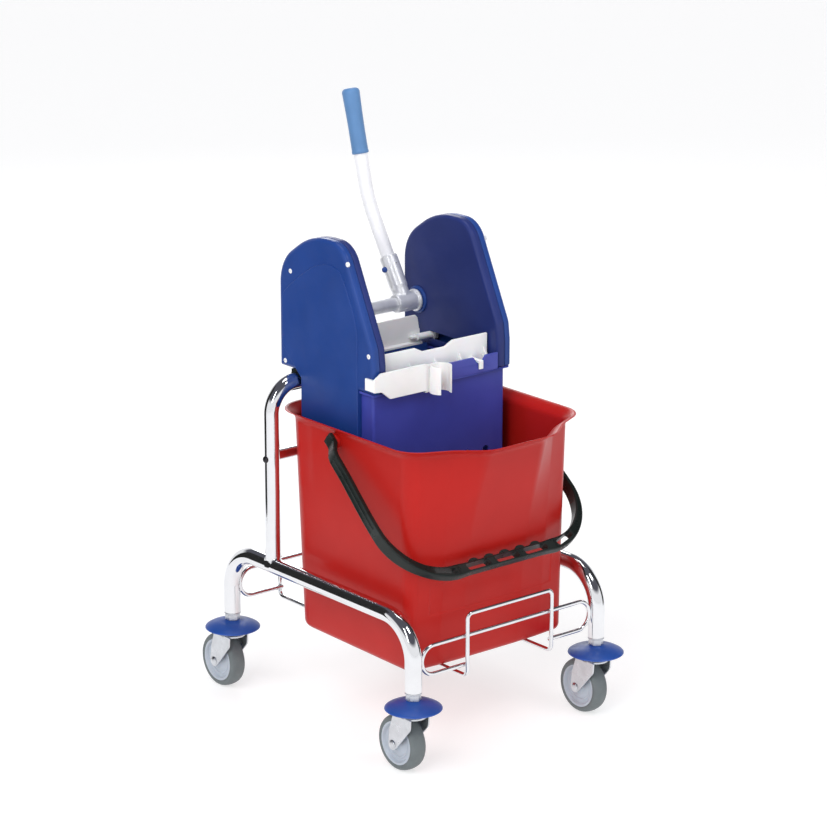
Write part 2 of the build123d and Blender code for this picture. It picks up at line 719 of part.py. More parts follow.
for side, sign in SIDES.items():
    # Arm inside the housing: carries the jaw pin and the cam follower.
    with BuildPart() as jaw_arm:
        with BuildSketch(Plane.XZ.offset(-sign * 103.6)):
            with BuildLine():
                Polyline(
                    (-79, PIN_Z), (-61, PIN_Z), (-57, AXLE_Z), (-75, AXLE_Z), close=True
                )
            make_face()
            with Locations((-70, PIN_Z), (AXLE_X + CAM_START, AXLE_Z)):
                Circle(9)
        extrude(amount=-sign * 6)
        with Locations(Location((-70, sign * 103, PIN_Z), (-90 * sign, 0, 0))):
            Cylinder(5, 8, align=(Align.CENTER, Align.CENTER, Align.MIN), mode=Mode.SUBTRACT)
        with Locations(Location((AXLE_X + CAM_START, sign * 109, AXLE_Z), (-90 * sign, 0, 0))):
            Cylinder(5.5, 9.4, align=(Align.CENTER, Align.CENTER, Align.MIN))
    save(jaw_arm, f"jaw_arm_{side}")

    # Cam: its slot is a spiral whose radius grows evenly with the lever's angle.
    def spiral(shift):
        points = []
        for step in range(21):
            turn = math.radians(LEVER_SWING * step / 20)
            radius = CAM_START + CAM_TRAVEL * step / 20
            slope = CAM_TRAVEL / math.radians(LEVER_SWING)
            size = math.hypot(slope, radius)
            out = radius / size * shift
            along = -slope / size * shift
            x = (radius + out) * math.cos(turn) - along * math.sin(turn)
            z = (radius + out) * math.sin(turn) + along * math.cos(turn)
            points.append((AXLE_X + x, AXLE_Z + z))
        return points

    with BuildPart() as cam:
        with BuildSketch(Plane.XZ.offset(-sign * 111)):
            with BuildLine():
                outer = Spline(*spiral(13))
                inner = Spline(*spiral(-12))
                Line(outer @ 0, inner @ 0)
                Line(outer @ 1, inner @ 1)
            make_face()
            with BuildLine():
                Polyline(
                    (AXLE_X - 8, AXLE_Z - 12), (AXLE_X + 26, AXLE_Z - 14),
                    (AXLE_X + 20, AXLE_Z + 20), (AXLE_X + 5, AXLE_Z + 78),
                    (AXLE_X - 12, AXLE_Z + 10), close=True,
                )
            make_face()
            with Locations((AXLE_X, AXLE_Z)):
                Circle(15)
            first = spiral(0)[0]
            last = spiral(0)[-1]
            with Locations(first, last):
                Circle(12)
            with BuildLine():
                outer = Spline(*spiral(5.9))
                inner = Spline(*spiral(-5.9))
                Line(outer @ 0, inner @ 0)
                Line(outer @ 1, inner @ 1)
            make_face(mode=Mode.SUBTRACT)
            with Locations(first, last):
                Circle(5.9, mode=Mode.SUBTRACT)
            with Locations((AXLE_X, AXLE_Z)):
                Circle(TUBE_R, mode=Mode.SUBTRACT)
        extrude(amount=-sign * 7)
    save(cam, f"lever_cam_{side}")

# ------------------------------------------------------------------------ lever
T_Y = 74.0
LEAN_X = -math.sin(math.radians(LEAN))
LEAN_Z = math.cos(math.radians(LEAN))


def on_lean(distance):
    return (AXLE_X + LEAN_X * distance, T_Y, AXLE_Z + LEAN_Z * distance)


with BuildPart() as lever_axle:
    with Locations(Location((AXLE_X, 0, AXLE_Z), (90, 0, 0))):
        Cylinder(TUBE_R, 2 * 119)
        Cylinder(TUBE_R - 2, 2 * 119, mode=Mode.SUBTRACT)
save(lever_axle, "lever_axle")

# Cast tee: sleeve on the axle, flange at the housing end and a leaning socket.
with BuildPart() as tee:
    with Locations(Location((AXLE_X, T_Y + 18, AXLE_Z), (90, 0, 0))):
        Cylinder(13.5, 36, align=(Align.CENTER, Align.CENTER, Align.MIN))
        Cylinder(16.5, 4, align=(Align.CENTER, Align.CENTER, Align.MAX))
    with BuildSketch(Plane(origin=on_lean(0), z_dir=(LEAN_X, 0, LEAN_Z))):
        Circle(12)
    extrude(amount=24)
    with BuildSketch(Plane(origin=on_lean(20), z_dir=(LEAN_X, 0, LEAN_Z))):
        Circle(13.2)
    extrude(amount=51)
    with BuildSketch(Plane(origin=on_lean(30), z_dir=(LEAN_X, 0, LEAN_Z))):
        Circle(TUBE_R)
    extrude(amount=45, mode=Mode.SUBTRACT)
    with Locations(Location((AXLE_X, T_Y, AXLE_Z), (90, 0, 0))):
        Cylinder(TUBE_R, 60, mode=Mode.SUBTRACT)
    # Seat for the release button.
    with BuildSketch(Plane(origin=on_lean(52), z_dir=(0, -1, 0))):
        Circle(4.2)
    extrude(amount=20, mode=Mode.SUBTRACT)
save(tee, "lever_tee")

# Painted tube: straight out of the socket, then bent towards upright.
BEND_Z = 699.0
BEND_X = AXLE_X + LEAN_X / LEAN_Z * (BEND_Z - AXLE_Z)
TIP_Z = 850.0
UPPER_SLOPE = -0.253
TIP_X = BEND_X + UPPER_SLOPE * (TIP_Z - BEND_Z)
lever_points = [on_lean(31), (BEND_X, T_Y, BEND_Z), (TIP_X, T_Y, TIP_Z)]
lever_tube = bent_bar(lever_points, 190, TUBE_R, 1.5)
button_x, button_y, button_z = on_lean(52)
with lever_tube:
    with Locations(Location((button_x, button_y - 10, button_z), (90, 0, 0))):
        Cylinder(4.2, 20, mode=Mode.SUBTRACT)
save(lever_tube, "lever_tube")

# Spring button that locks the tube in its socket.
with BuildPart() as lever_button:
    with BuildSketch(Plane(origin=(button_x, button_y - 7.6, button_z), z_dir=(0, -1, 0))):
        Circle(4.0)
    extrude(amount=10)
    fillet(lever_button.edges().sort_by(Axis.Y)[0], 1.5)
save(lever_button, "lever_button")

# Tapered hand grip, closed and rounded at the top.
upper = math.hypot(1, UPPER_SLOPE)
grip_dir = (UPPER_SLOPE / upper, 0, 1 / upper)
GRIP_LOW_Z = 763.0
grip_origin = (BEND_X + UPPER_SLOPE * (GRIP_LOW_Z - BEND_Z), T_Y, GRIP_LOW_Z)
with BuildPart() as grip:
    with BuildSketch(Plane.XZ):
        with BuildLine():
            Polyline((TUBE_R, 0), (11.8, 0), (12.2, 1), (12.2, 3))
            Spline((12.2, 3), (11.7, 40), (12.9, 88), tangents=[(0, 1), (0.1, 1)])
            ThreePointArc((12.9, 88), (10.2, 93.6), (5, 95.5))
            Polyline((5, 95.5), (0, 95.5), (0, 92), (TUBE_R, 92), (TUBE_R, 0))
        make_face()
    revolve(axis=Axis.Z)
grip.part.location = Plane(origin=grip_origin, z_dir=grip_dir, x_dir=(0, 1, 0)).location
save(grip, "lever_grip")

# ------------------------------------------------------------------- pole clip
CLIP_FACE = COLLAR_X + 3.9
with BuildPart() as clip:
    with BuildSketch(Plane.YZ.offset(CLIP_FACE)):
        with BuildLine():
            Polyline(
                (-129, 504), (-129, 521), (-116, 529), (-37, 529), (-37, 491), (-101, 491),
                (-116, 503), close=True,
            )
        make_face()
    extrude(amount=4)
    # Hooked end round the corner of the housing.
    with Locations((77.5, -127.3, 512.5)):
        Box(20.8, 3.4, 16.5)
    # Stand-offs that touch the collar.
    with Locations((COLLAR_X + 2, -110, 512), (COLLAR_X + 2, -45, 512)):
        Box(3.9, 8, 14)
    # Spring channel for a mop pole, open to the front.
    with BuildSketch(Plane.XY.offset(488)):
        with Locations((CLIP_FACE + 14, -20)):
            Circle(15.5)
            Circle(12.2, mode=Mode.SUBTRACT)
        with Locations((CLIP_FACE + 24, -20)):
            Rectangle(20, 19, mode=Mode.SUBTRACT)
        with Locations((CLIP_FACE + 1, -28)):
            Rectangle(4, 20)
        with Locations((CLIP_FACE + 14, -20)):
            Circle(12.2, mode=Mode.SUBTRACT)
    extrude(amount=39)
save(clip, "pole_clip")
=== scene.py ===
import json
import math

import bmesh
import bpy
from mathutils import Matrix, Quaternion, Vector


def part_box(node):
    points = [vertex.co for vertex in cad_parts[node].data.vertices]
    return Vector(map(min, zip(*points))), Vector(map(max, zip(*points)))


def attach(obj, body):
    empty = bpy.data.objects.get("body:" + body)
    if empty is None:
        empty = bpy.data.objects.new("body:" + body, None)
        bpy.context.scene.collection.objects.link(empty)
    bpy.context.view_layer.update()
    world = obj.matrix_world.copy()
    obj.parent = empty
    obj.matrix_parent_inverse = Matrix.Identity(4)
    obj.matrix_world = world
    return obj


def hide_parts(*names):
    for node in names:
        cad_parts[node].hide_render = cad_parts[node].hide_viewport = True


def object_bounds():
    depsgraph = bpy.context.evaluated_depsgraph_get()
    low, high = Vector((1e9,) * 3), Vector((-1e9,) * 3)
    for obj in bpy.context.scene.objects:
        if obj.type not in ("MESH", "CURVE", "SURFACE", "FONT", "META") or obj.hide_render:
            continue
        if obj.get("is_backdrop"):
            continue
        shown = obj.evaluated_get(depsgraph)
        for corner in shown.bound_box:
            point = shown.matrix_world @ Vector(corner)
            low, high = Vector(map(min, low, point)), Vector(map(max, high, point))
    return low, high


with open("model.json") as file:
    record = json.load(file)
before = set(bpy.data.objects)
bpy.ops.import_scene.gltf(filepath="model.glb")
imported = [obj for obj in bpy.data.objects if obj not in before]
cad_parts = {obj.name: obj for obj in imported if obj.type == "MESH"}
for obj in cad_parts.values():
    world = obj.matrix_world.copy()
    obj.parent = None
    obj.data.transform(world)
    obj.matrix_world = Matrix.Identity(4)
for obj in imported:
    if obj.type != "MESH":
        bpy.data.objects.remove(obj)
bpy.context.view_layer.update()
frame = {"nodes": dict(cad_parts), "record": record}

MM = 0.001

# Key places of the model, in millimetres, as in the CAD.
FRONT_X, REAR_X, TRACK_Y = 218.0, -194.0, 168.0
SIDE_R, SIDE_Z, LEG_Z = 12.0, 217.0, 119.0
HOOP_X, HOOP_R, HOOP_Z = -94.0, 11.0, 482.0
AXLE_X, AXLE_Z = -96.0, 562.0
LEAN = math.radians(31.0)
LEVER_Y = 74
WIRE_R, CRADLE_Y, CRADLE_Z = 3, 77, 121.5
WHEEL_R, TRAIL = 40, 24
BUCKET_LOW, BULGE_FROM, BUCKET_TOP = 125, 270, 448
BAIL_X, BAIL_Z, BAIL_HANG, EAR_Y = 23, 425, 38.7, 142.6
CORNERS = {
    "front_left": (FRONT_X, TRACK_Y),
    "front_right": (FRONT_X, -TRACK_Y),
    "rear_left": (REAR_X, TRACK_Y),
    "rear_right": (REAR_X, -TRACK_Y),
}
SIDES = {"left": 1, "right": -1}


# ------------------------------------------------------------------- materials
def material(
    name, colour, rough, metallic=0.0, mottle=0.0, mottle_scale=30.0, rough_spread=0.06,
    grain=0.0, grain_scale=900.0, wave=0.0, wave_scale=25.0, coat=0.0, specular=0.5,
    sub=0.0, edge=0.0, grime=0.0,
):
    """Principled material with its colour, roughness and bump driven by noise."""
    mat = bpy.data.materials.new(name)
    mat.use_nodes = True
    nodes, links = mat.node_tree.nodes, mat.node_tree.links
    shader = nodes["Principled BSDF"]
    shader.inputs["Metallic"].default_value = metallic
    shader.inputs["Specular IOR Level"].default_value = specular
    shader.inputs["Coat Weight"].default_value = coat
    shader.inputs["Coat Roughness"].default_value = 0.12
    if sub > 0:
        shader.inputs["Subsurface Weight"].default_value = sub
        shader.inputs["Subsurface Scale"].default_value = 0.004
    place = nodes.new("ShaderNodeTexCoord").outputs["Object"]

    def noise(scale, detail=3.0, rough_detail=0.55):
        node = nodes.new("ShaderNodeTexNoise")
        node.inputs["Scale"].default_value = scale
        node.inputs["Detail"].default_value = detail
        node.inputs["Roughness"].default_value = rough_detail
        links.new(place, node.inputs["Vector"])
        return node.outputs["Fac"]

    def remap(value, low, high, from_low=0.3, from_high=0.7):
        node = nodes.new("ShaderNodeMapRange")
        node.inputs["From Min"].default_value = from_low
        node.inputs["From Max"].default_value = from_high
        node.inputs["To Min"].default_value = low
        node.inputs["To Max"].default_value = high
        links.new(value, node.inputs["Value"])
        return node.outputs["Result"]

    def mix(factor, first, second):
        node = nodes.new("ShaderNodeMix")
        node.data_type = "RGBA"
        for socket, value in ((node.inputs["A"], first), (node.inputs["B"], second)):
            if isinstance(value, tuple):
                socket.default_value = (*value, 1.0)
            else:
                links.new(value, socket)
        links.new(factor, node.inputs["Factor"])
        return node.outputs["Result"]

    dark = tuple(c * (1.0 - mottle) for c in colour)
    light = tuple(min(1.0, c * (1.0 + mottle) + 0.02 * mottle) for c in colour)
    shade = mix(remap(noise(mottle_scale), 0.0, 1.0), dark, light)
    # Convex edges, found by pointiness, are mixed towards a paler tint: a painted highlight along
    # the edges.
    if edge > 0:
        geometry = nodes.new("ShaderNodeNewGeometry")
        edge_highlight = remap(geometry.outputs["Pointiness"], 0.0, edge, 0.52, 0.60)
        pale = tuple(min(1.0, c * 1.5 + 0.06) for c in colour)
        shade = mix(edge_highlight, shade, pale)
    if grime > 0:
        dusty = remap(noise(mottle_scale * 4.0, 6.0, 0.7), 0.0, grime, 0.55, 0.8)
        shade = mix(dusty, shade, (0.22, 0.21, 0.20))
    links.new(shade, shader.inputs["Base Color"])
    spread = remap(noise(mottle_scale * 2.3, 4.0), rough - rough_spread, rough + rough_spread)
    links.new(spread, shader.inputs["Roughness"])
    last = None
    for strength, scale in ((wave, wave_scale), (grain, grain_scale)):
        if strength > 0:
            bump = nodes.new("ShaderNodeBump")
            bump.inputs["Strength"].default_value = 1.0
            bump.inputs["Distance"].default_value = strength * MM
            links.new(noise(scale, 2.0), bump.inputs["Height"])
            if last is not None:
                links.new(last, bump.inputs["Normal"])
            last = bump.outputs["Normal"]
    if last is not None:
        links.new(last, shader.inputs["Normal"])
    return mat


CHROME = material(
    "chrome_tube", (0.80, 0.81, 0.83), 0.07, metallic=1.0, mottle=0.03, rough_spread=0.03,
    wave=0.02, wave_scale=40,
)
WIRE = material(
    "chrome_wire", (0.78, 0.79, 0.81), 0.13, metallic=1.0, mottle=0.04, rough_spread=0.04,
    wave=0.02, wave_scale=60,
)
ZINC = material(
    "zinc", (0.63, 0.65, 0.68), 0.32, metallic=1.0, mottle=0.07, mottle_scale=90,
    rough_spread=0.08, grain=0.01, grain_scale=1400,
)
DARK_SCREW = material(
    "dark_screw", (0.05, 0.05, 0.055), 0.35, metallic=1.0, mottle=0.1, mottle_scale=200,
)
ALUMINIUM = material(
    "aluminium", (0.84, 0.85, 0.88), 0.38, metallic=0.55, mottle=0.05, mottle_scale=80,
    rough_spread=0.07, grain=0.02, grain_scale=900,
)
WHITE_PAINT = material(
    "white_paint", (0.80, 0.80, 0.83), 0.28, mottle=0.02, wave=0.02, wave_scale=120,
    coat=0.3, rough_spread=0.05,
)
RED = material(
    "red_plastic", (0.42, 0.011, 0.008), 0.33, mottle=0.04, mottle_scale=14, grain=0.006,
    grain_scale=700, wave=0.04, wave_scale=12, edge=0.12, rough_spread=0.03, sub=0.05,
    specular=0.2,
)
BLUE = material(
    "blue_plastic", (0.010, 0.046, 0.225), 0.36, mottle=0.07, mottle_scale=16, grain=0.015,
    grain_scale=800, wave=0.06, wave_scale=14, edge=0.3, sub=0.04, specular=0.35,
)
# Darker copy of the blue plastic for the inner halves of the housings: painted shade on faces that
# sit in shade.
SHADED_BLUE = material(
    "housing_inner_painted_shade", (0.014, 0.026, 0.140), 0.40, mottle=0.07, mottle_scale=16, grain=0.015,
    grain_scale=800, wave=0.05, wave_scale=14, edge=0.3, specular=0.3,
)
VIOLET = material(
    "basket_blue", (0.041, 0.055, 0.33), 0.38, mottle=0.07, mottle_scale=16, grain=0.015,
    grain_scale=800, wave=0.05, wave_scale=14, edge=0.3, specular=0.3,
)
BUMPER = material(
    "blue_bumper", (0.014, 0.064, 0.30), 0.38, mottle=0.06, mottle_scale=40, grain=0.012,
    grain_scale=900, edge=0.3,
)
GRIP = material(
    "grip_plastic", (0.090, 0.21, 0.42), 0.42, mottle=0.06, mottle_scale=35, grain=0.03,
    grain_scale=650, edge=0.2,
)
WHITE = material(
    "white_plastic", (0.88, 0.88, 0.875), 0.38, mottle=0.03, mottle_scale=24, grain=0.012,
    grain_scale=800, sub=0.15, wave=0.04, wave_scale=30,
)
CAP = material("white_cap", (0.82, 0.82, 0.82), 0.4, mottle=0.04, mottle_scale=200, grain=0.01)
BLACK = material(
    "black_plastic", (0.006, 0.010, 0.009), 0.30, mottle=0.15, mottle_scale=30, grain=0.02,
    grain_scale=700, edge=0.15, specular=0.3,
)
TYRE = material(
    "tyre_rubber", (0.12, 0.14, 0.145), 0.55, mottle=0.08, mottle_scale=60, grain=0.04,
    grain_scale=600, grime=0.12,
)
HUB = material(
    "hub_plastic", (0.39, 0.43, 0.49), 0.40, mottle=0.05, mottle_scale=60, grain=0.015,
    grain_scale=700, sub=0.05,
)
NYLON = material(
    "grey_nylon", (0.30, 0.31, 0.33), 0.45, mottle=0.05, mottle_scale=50, grain=0.02,
)


# ---------------------------------------------------------------- mesh helpers
def piece(name, verts, faces, mat, body, slot, replaces=(), sharp=35.0, matrix=None):
    """Object from a vertex list in millimetres that rides on a body."""
    mesh = bpy.data.meshes.new(name)
    place = matrix or Matrix.Identity(4)
    mesh.from_pydata([place @ Vector(v) * MM for v in verts], [], faces)
    mesh.validate()
    work = bmesh.new()
    work.from_mesh(mesh)
    bmesh.ops.remove_doubles(work, verts=work.verts, dist=1e-7)
    bmesh.ops.recalc_face_normals(work, faces=work.faces)
    work.to_mesh(mesh)
    work.free()
    obj = bpy.data.objects.new(name, mesh)
    bpy.context.scene.collection.objects.link(obj)
    obj.data.materials.append(mat)
    shade(obj, sharp)
    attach(obj, body)
    if replaces:
        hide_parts(*replaces)
    return obj


def shade(obj, sharp=35.0):
    obj.data.shade_smooth()
    obj.data.set_sharp_from_angle(angle=math.radians(sharp))


def settle(obj):
    """Replace the mesh by the result of its modifiers."""
    graph = bpy.context.evaluated_depsgraph_get()
    done = bpy.data.meshes.new_from_object(obj.evaluated_get(graph))
    obj.modifiers.clear()
    obj.data = done
    return obj


def bevel(obj, width, segments=3, angle=30.0):
    """Rounded edges, with the flat faces kept flat in shading."""
    mod = obj.modifiers.new("bevel", "BEVEL")
    mod.width = width * MM
    mod.segments = segments
    mod.limit_method = "ANGLE"
    mod.angle_limit = math.radians(angle)
    mod.miter_outer = "MITER_ARC"
    mod.harden_normals = False
    settle(obj)
    shade(obj, 50.0)
    mod = obj.modifiers.new("normals", "WEIGHTED_NORMAL")
    mod.keep_sharp = True
    mod.weight = 80
    settle(obj)
    return obj


def combine(obj, tool, how="DIFFERENCE"):
    """Exact boolean with another object, which is then removed."""
    mod = obj.modifiers.new("combine", "BOOLEAN")
    mod.operation = how
    mod.solver = "EXACT"
    mod.object = tool
    settle(obj)
    bpy.data.objects.remove(tool)
    return obj


def raw(verts, faces):
    """Bare object for a boolean."""
    mesh = bpy.data.meshes.new("tool")
    mesh.from_pydata([Vector(v) * MM for v in verts], [], faces)
    work = bmesh.new()
    work.from_mesh(mesh)
    bmesh.ops.remove_doubles(work, verts=work.verts, dist=1e-7)
    bmesh.ops.recalc_face_normals(work, faces=work.faces)
    work.to_mesh(mesh)
    work.free()
    obj = bpy.data.objects.new("tool", mesh)
    bpy.context.scene.collection.objects.link(obj)
    return obj


def taken(obj):
    """Vertices in millimetres and faces of a bare object, which is then removed."""
    verts = [tuple(v.co / MM) for v in obj.data.vertices]
    faces = [list(p.vertices) for p in obj.data.polygons]
    bpy.data.objects.remove(obj)
    return verts, faces


def moved(solid, place):
    """A (verts, faces) pair put in place by a matrix."""
    verts, faces = solid
    return [tuple(place @ Vector(v)) for v in verts], faces


def prism(outline, low, high, axis="Y"):
    """Vertices and faces of a flat outline extruded along an axis."""
    count = len(outline)
    verts = []
    for level in (low, high):
        for a, b in outline:
            verts.append({"X": (level, a, b), "Y": (a, level, b), "Z": (a, b, level)}[axis])
    faces = [list(range(count)), list(range(2 * count - 1, count - 1, -1))]
    for i in range(count):
        j = (i + 1) % count
        faces.append([i, j, j + count, i + count])
    return verts, faces


def many(*parts):
    """Several (verts, faces) pairs as one."""
    verts, faces = [], []
    for part_verts, part_faces in parts:
        shift = len(verts)
        verts += part_verts
        faces += [[i + shift for i in face] for face in part_faces]
    return verts, faces


def rounded(points, radii, steps=8):
    """Polygon with rounded corners, as a list of points."""
    result = []
    count = len(points)
    for i, point in enumerate(points):
        radius = radii[i] if isinstance(radii, (list, tuple)) else radii
        b = Vector(point)
        a, c = Vector(points[i - 1]), Vector(points[(i + 1) % count])
        u, v = (a - b).normalized(), (c - b).normalized()
        inside = math.acos(max(-1.0, min(1.0, u.dot(v))))
        if radius <= 0 or inside > math.pi - 1e-3:
            result.append(tuple(b))
            continue
        reach = radius / math.tan(inside / 2)
        centre = b + (u + v).normalized() * (radius / math.sin(inside / 2))
        start, end = b + u * reach - centre, b + v * reach - centre
        turn = math.atan2(start.x * end.y - start.y * end.x, start.dot(end))
        for k in range(steps + 1):
            angle = turn * k / steps
            result.append((
                centre.x + start.x * math.cos(angle) - start.y * math.sin(angle),
                centre.y + start.x * math.sin(angle) + start.y * math.cos(angle),
            ))
    return result


def skin(rows, count):
    """Quads between rows of count points, with both ends closed."""
    faces = []
    for r in range(rows - 1):
        for i in range(count):
            j = (i + 1) % count
            faces.append([r * count + i, r * count + j, (r + 1) * count + j, (r + 1) * count + i])
    faces.append(list(range(count)))
    faces.append(list(range(rows * count - 1, (rows - 1) * count - 1, -1)))
    return faces


def ring(radius, count=48, centre=(0.0, 0.0)):
    """Points of a circle."""
    return [
        (centre[0] + radius * math.cos(2 * math.pi * i / count),
         centre[1] + radius * math.sin(2 * math.pi * i / count))
        for i in range(count)
    ]


def lathe(profile, segments=64):
    """Solid of revolution about Z from (radius, height) points; closed if it starts off axis."""
    verts, faces = [], []
    count = len(profile)
    closed = profile[0][0] > 0 or profile[-1][0] > 0
    for k in range(segments):
        angle = 2 * math.pi * k / segments
        for r, z in profile:
            verts.append((r * math.cos(angle), r * math.sin(angle), z))
    for k in range(segments):
        n = (k + 1) % segments
        for i in range(count if closed else count - 1):
            j = (i + 1) % count
            quad = [k * count + i, n * count + i, n * count + j, k * count + j]
            faces.append(quad)
    return verts, faces


def along(origin, direction):
    """Matrix that puts local +Z along a direction at an origin."""
    turn = Vector(direction).to_track_quat("Z", "Y").to_matrix().to_4x4()
    return Matrix.Translation(Vector(origin)) @ turn


def bent(points, radius, step=5.0):
    """Centre line through the points with round bends, as vectors."""
    points = [Vector(p) for p in points]
    path = [points[0]]
    for a, b, c in zip(points, points[1:], points[2:]):
        u, v = (a - b).normalized(), (c - b).normalized()
        inside = u.angle(v)
        reach = radius / math.tan(inside / 2)
        centre = b + (u + v).normalized() * (radius / math.sin(inside / 2))
        start, end = b + u * reach - centre, b + v * reach - centre
        turn = start.angle(end)
        spin = start.cross(end).normalized()
        parts = max(2, round(math.degrees(turn) / step))
        for k in range(parts + 1):
            path.append(centre + Quaternion(spin, turn * k / parts) @ start)
    path.append(points[-1])
    return path


def sweep(path, section, up=(0, 0, 1), scales=None):
    """Section of (across, up) points carried along a path without twisting."""
    verts, last, normal = [], None, None
    for i, point in enumerate(path):
        ahead = path[min(i + 1, len(path) - 1)]
        behind = path[max(i - 1, 0)]
        tangent = (ahead - behind).normalized()
        if normal is None:
            guide = Vector(up)
            if abs(guide.dot(tangent)) > 0.95:
                guide = Vector((1, 0, 0))
            normal = (guide - tangent * guide.dot(tangent)).normalized()
        else:
            turn = last.rotation_difference(tangent)
            normal = turn @ normal
            normal = (normal - tangent * normal.dot(tangent)).normalized()
        last = tangent
        side = tangent.cross(normal)
        size = scales[i] if scales else 1.0
        for a, b in section:
            verts.append(tuple(point + side * (a * size) + normal * (b * size)))
    return verts, skin(len(path), len(section))


def tube(points, bend_radius, radius, sides=40, step=5.0):
    """Round bar along a bent line, with slightly eased ends."""
    path = bent(points, bend_radius, step)
    ease = radius * 0.08
    first, last = path[0], path[-1]
    path = [first, first + (path[1] - first).normalized() * ease] + path[1:-1]
    path += [last + (path[-1] - last).normalized() * ease, last]
    scales = [0.92] + [1.0] * (len(path) - 2) + [0.92]
    return sweep(path, ring(radius, sides), scales=scales)


# ------------------------------------------------------------------ tube frame
for side, sign in SIDES.items():
    y = sign * TRACK_Y
    line = [(REAR_X, y, LEG_Z), (REAR_X, y, SIDE_Z), (FRONT_X, y, SIDE_Z), (FRONT_X, y, LEG_Z)]
    piece(
        f"side_tube_{side}", *tube(line, 57, SIDE_R, 56, 3), CHROME, "frame", "chrome_tube",
        [f"side_frame_{side}"], 40,
    )

line = [
    (HOOP_X, -TRACK_Y, SIDE_Z + 8), (HOOP_X, -TRACK_Y, HOOP_Z),
    (HOOP_X, TRACK_Y, HOOP_Z), (HOOP_X, TRACK_Y, SIDE_Z + 8),
]
piece(
    "hoop_tube", *tube(line, 42, HOOP_R, 56, 3), CHROME, "frame", "chrome_tube",
    ["wringer_hoop"], 40,
)


def weld_fillet(x, y, z, radius, across):
    """Ground weld where an upright meets a tube: a flared collar that follows the tube."""
    verts, faces = [], []
    turns, rows = 48, 6
    for row in range(rows):
        out = radius + 2.4 * (1 - row / (rows - 1)) ** 2
        for k in range(turns):
            angle = 2 * math.pi * k / turns
            px, py = out * math.cos(angle), out * math.sin(angle)
            base = math.sqrt(max(0.0, across * across - py * py)) - 0.3
            verts.append((x + px, y + py, z + base + 3.2 * row / (rows - 1)))
    for row in range(rows - 1):
        for k in range(turns):
            n = (k + 1) % turns
            faces.append([
                row * turns + k, row * turns + n, (row + 1) * turns + n, (row + 1) * turns + k,
            ])
    return verts, faces


welds = many(*[
    weld_fillet(HOOP_X, sign * TRACK_Y, SIDE_Z, HOOP_R, SIDE_R) for sign in (1, -1)
])
piece("hoop_welds", *welds, CHROME, "frame", "chrome_tube", sharp=60)

low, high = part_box("hoop_crossbar")
bar_z = (low.z + high.z) / 2 / MM
bar_x = (low.x + high.x) / 2 / MM
bar = tube([(bar_x, -TRACK_Y + 8, bar_z), (bar_x, TRACK_Y - 8, bar_z)], 1, 8, 40)
piece("cross_tube", *bar, CHROME, "frame", "chrome_tube", ["hoop_crossbar"], 40)

heads = []
for sign in (1, -1):
    profile = [(0.01, 3.4), (2.2, 3.3), (3.7, 2.7), (4.7, 1.4), (5.0, 0.4), (5.0, 0.0), (0.01, 0.0)]
    turn = along((HOOP_X, sign * (TRACK_Y + HOOP_R - 0.2), bar_z), (0, sign, 0))
    heads.append(moved(lathe(profile, 32), turn))
piece("hoop_screw_heads", *many(*heads), DARK_SCREW, "frame", "dark_screw", ["hoop_screws"], 40)


# ------------------------------------------------------------------ wire racks
RACK_LOW, RACK_MID, RACK_HIGH, RACK_BEND = 137, 158, 179, 21


def rack_line(x):
    """Centre line of an end rack: straight runs joined by half rounds at both sides."""
    end = TRACK_Y - SIDE_R - 3 + 0.4 - RACK_BEND
    path = [Vector((x, -CRADLE_Y, RACK_LOW)), Vector((x, -end, RACK_LOW))]
    for k in range(1, 24):
        angle = -math.pi / 2 - math.pi * k / 24
        y, z = -end + RACK_BEND * math.cos(angle), RACK_MID + RACK_BEND * math.sin(angle)
        path.append(Vector((x, y, z)))
    path += [Vector((x, -end, RACK_HIGH)), Vector((x, end, RACK_HIGH))]
    for k in range(1, 24):
        angle = math.pi / 2 - math.pi * k / 24
        y, z = end + RACK_BEND * math.cos(angle), RACK_MID + RACK_BEND * math.sin(angle)
        path.append(Vector((x, y, z)))
    path += [Vector((x, end, RACK_LOW)), Vector((x, CRADLE_Y, RACK_LOW))]
    return path


for name, x in (("front", FRONT_X), ("rear", REAR_X)):
    wire = sweep(rack_line(x), ring(WIRE_R, 24), up=(1, 0, 0))
    piece(f"{name}_rack_wire", *wire, WIRE, "frame", "chrome_wire", [f"{name}_rack"], 50)

front, rear = FRONT_X + 5.6, REAR_X - 5.6
line = [
    (rear, -CRADLE_Y, 183), (rear, -CRADLE_Y, CRADLE_Z), (front, -CRADLE_Y, CRADLE_Z),
    (front, -CRADLE_Y, 212), (front, CRADLE_Y, 212), (front, CRADLE_Y, CRADLE_Z),
    (rear, CRADLE_Y, CRADLE_Z), (rear, CRADLE_Y, 183),
]
piece(
    "cradle_bent_wire", *tube(line, 8, WIRE_R, 24, 7.5), WIRE, "frame", "chrome_wire",
    ["cradle_wire"], 50,
)

# Resistance welds: small flattened nuggets where the wires cross.
nuggets = []
for x, out in ((FRONT_X, front), (REAR_X, rear)):
    for y in (-CRADLE_Y, CRADLE_Y):
        for z in (RACK_LOW, RACK_HIGH):
            profile = [(0.01, 1.5), (1.6, 1.2), (2.4, 0), (1.6, -1.2), (0.01, -1.5)]
            place = Matrix.Translation(((x + out) / 2, y, z))
            nuggets.append(moved(lathe(profile, 16), place))
piece("wire_welds", *many(*nuggets), WIRE, "frame", "chrome_wire", sharp=60)


# ------------------------------------------------------------------------ castors
def lathed(name, profile, place, mat, body, slot, replaces=(), segments=72, sharp=32):
    """Piece turned from a profile."""
    return piece(name, *lathe(profile, segments), mat, body, slot, replaces, sharp, place)


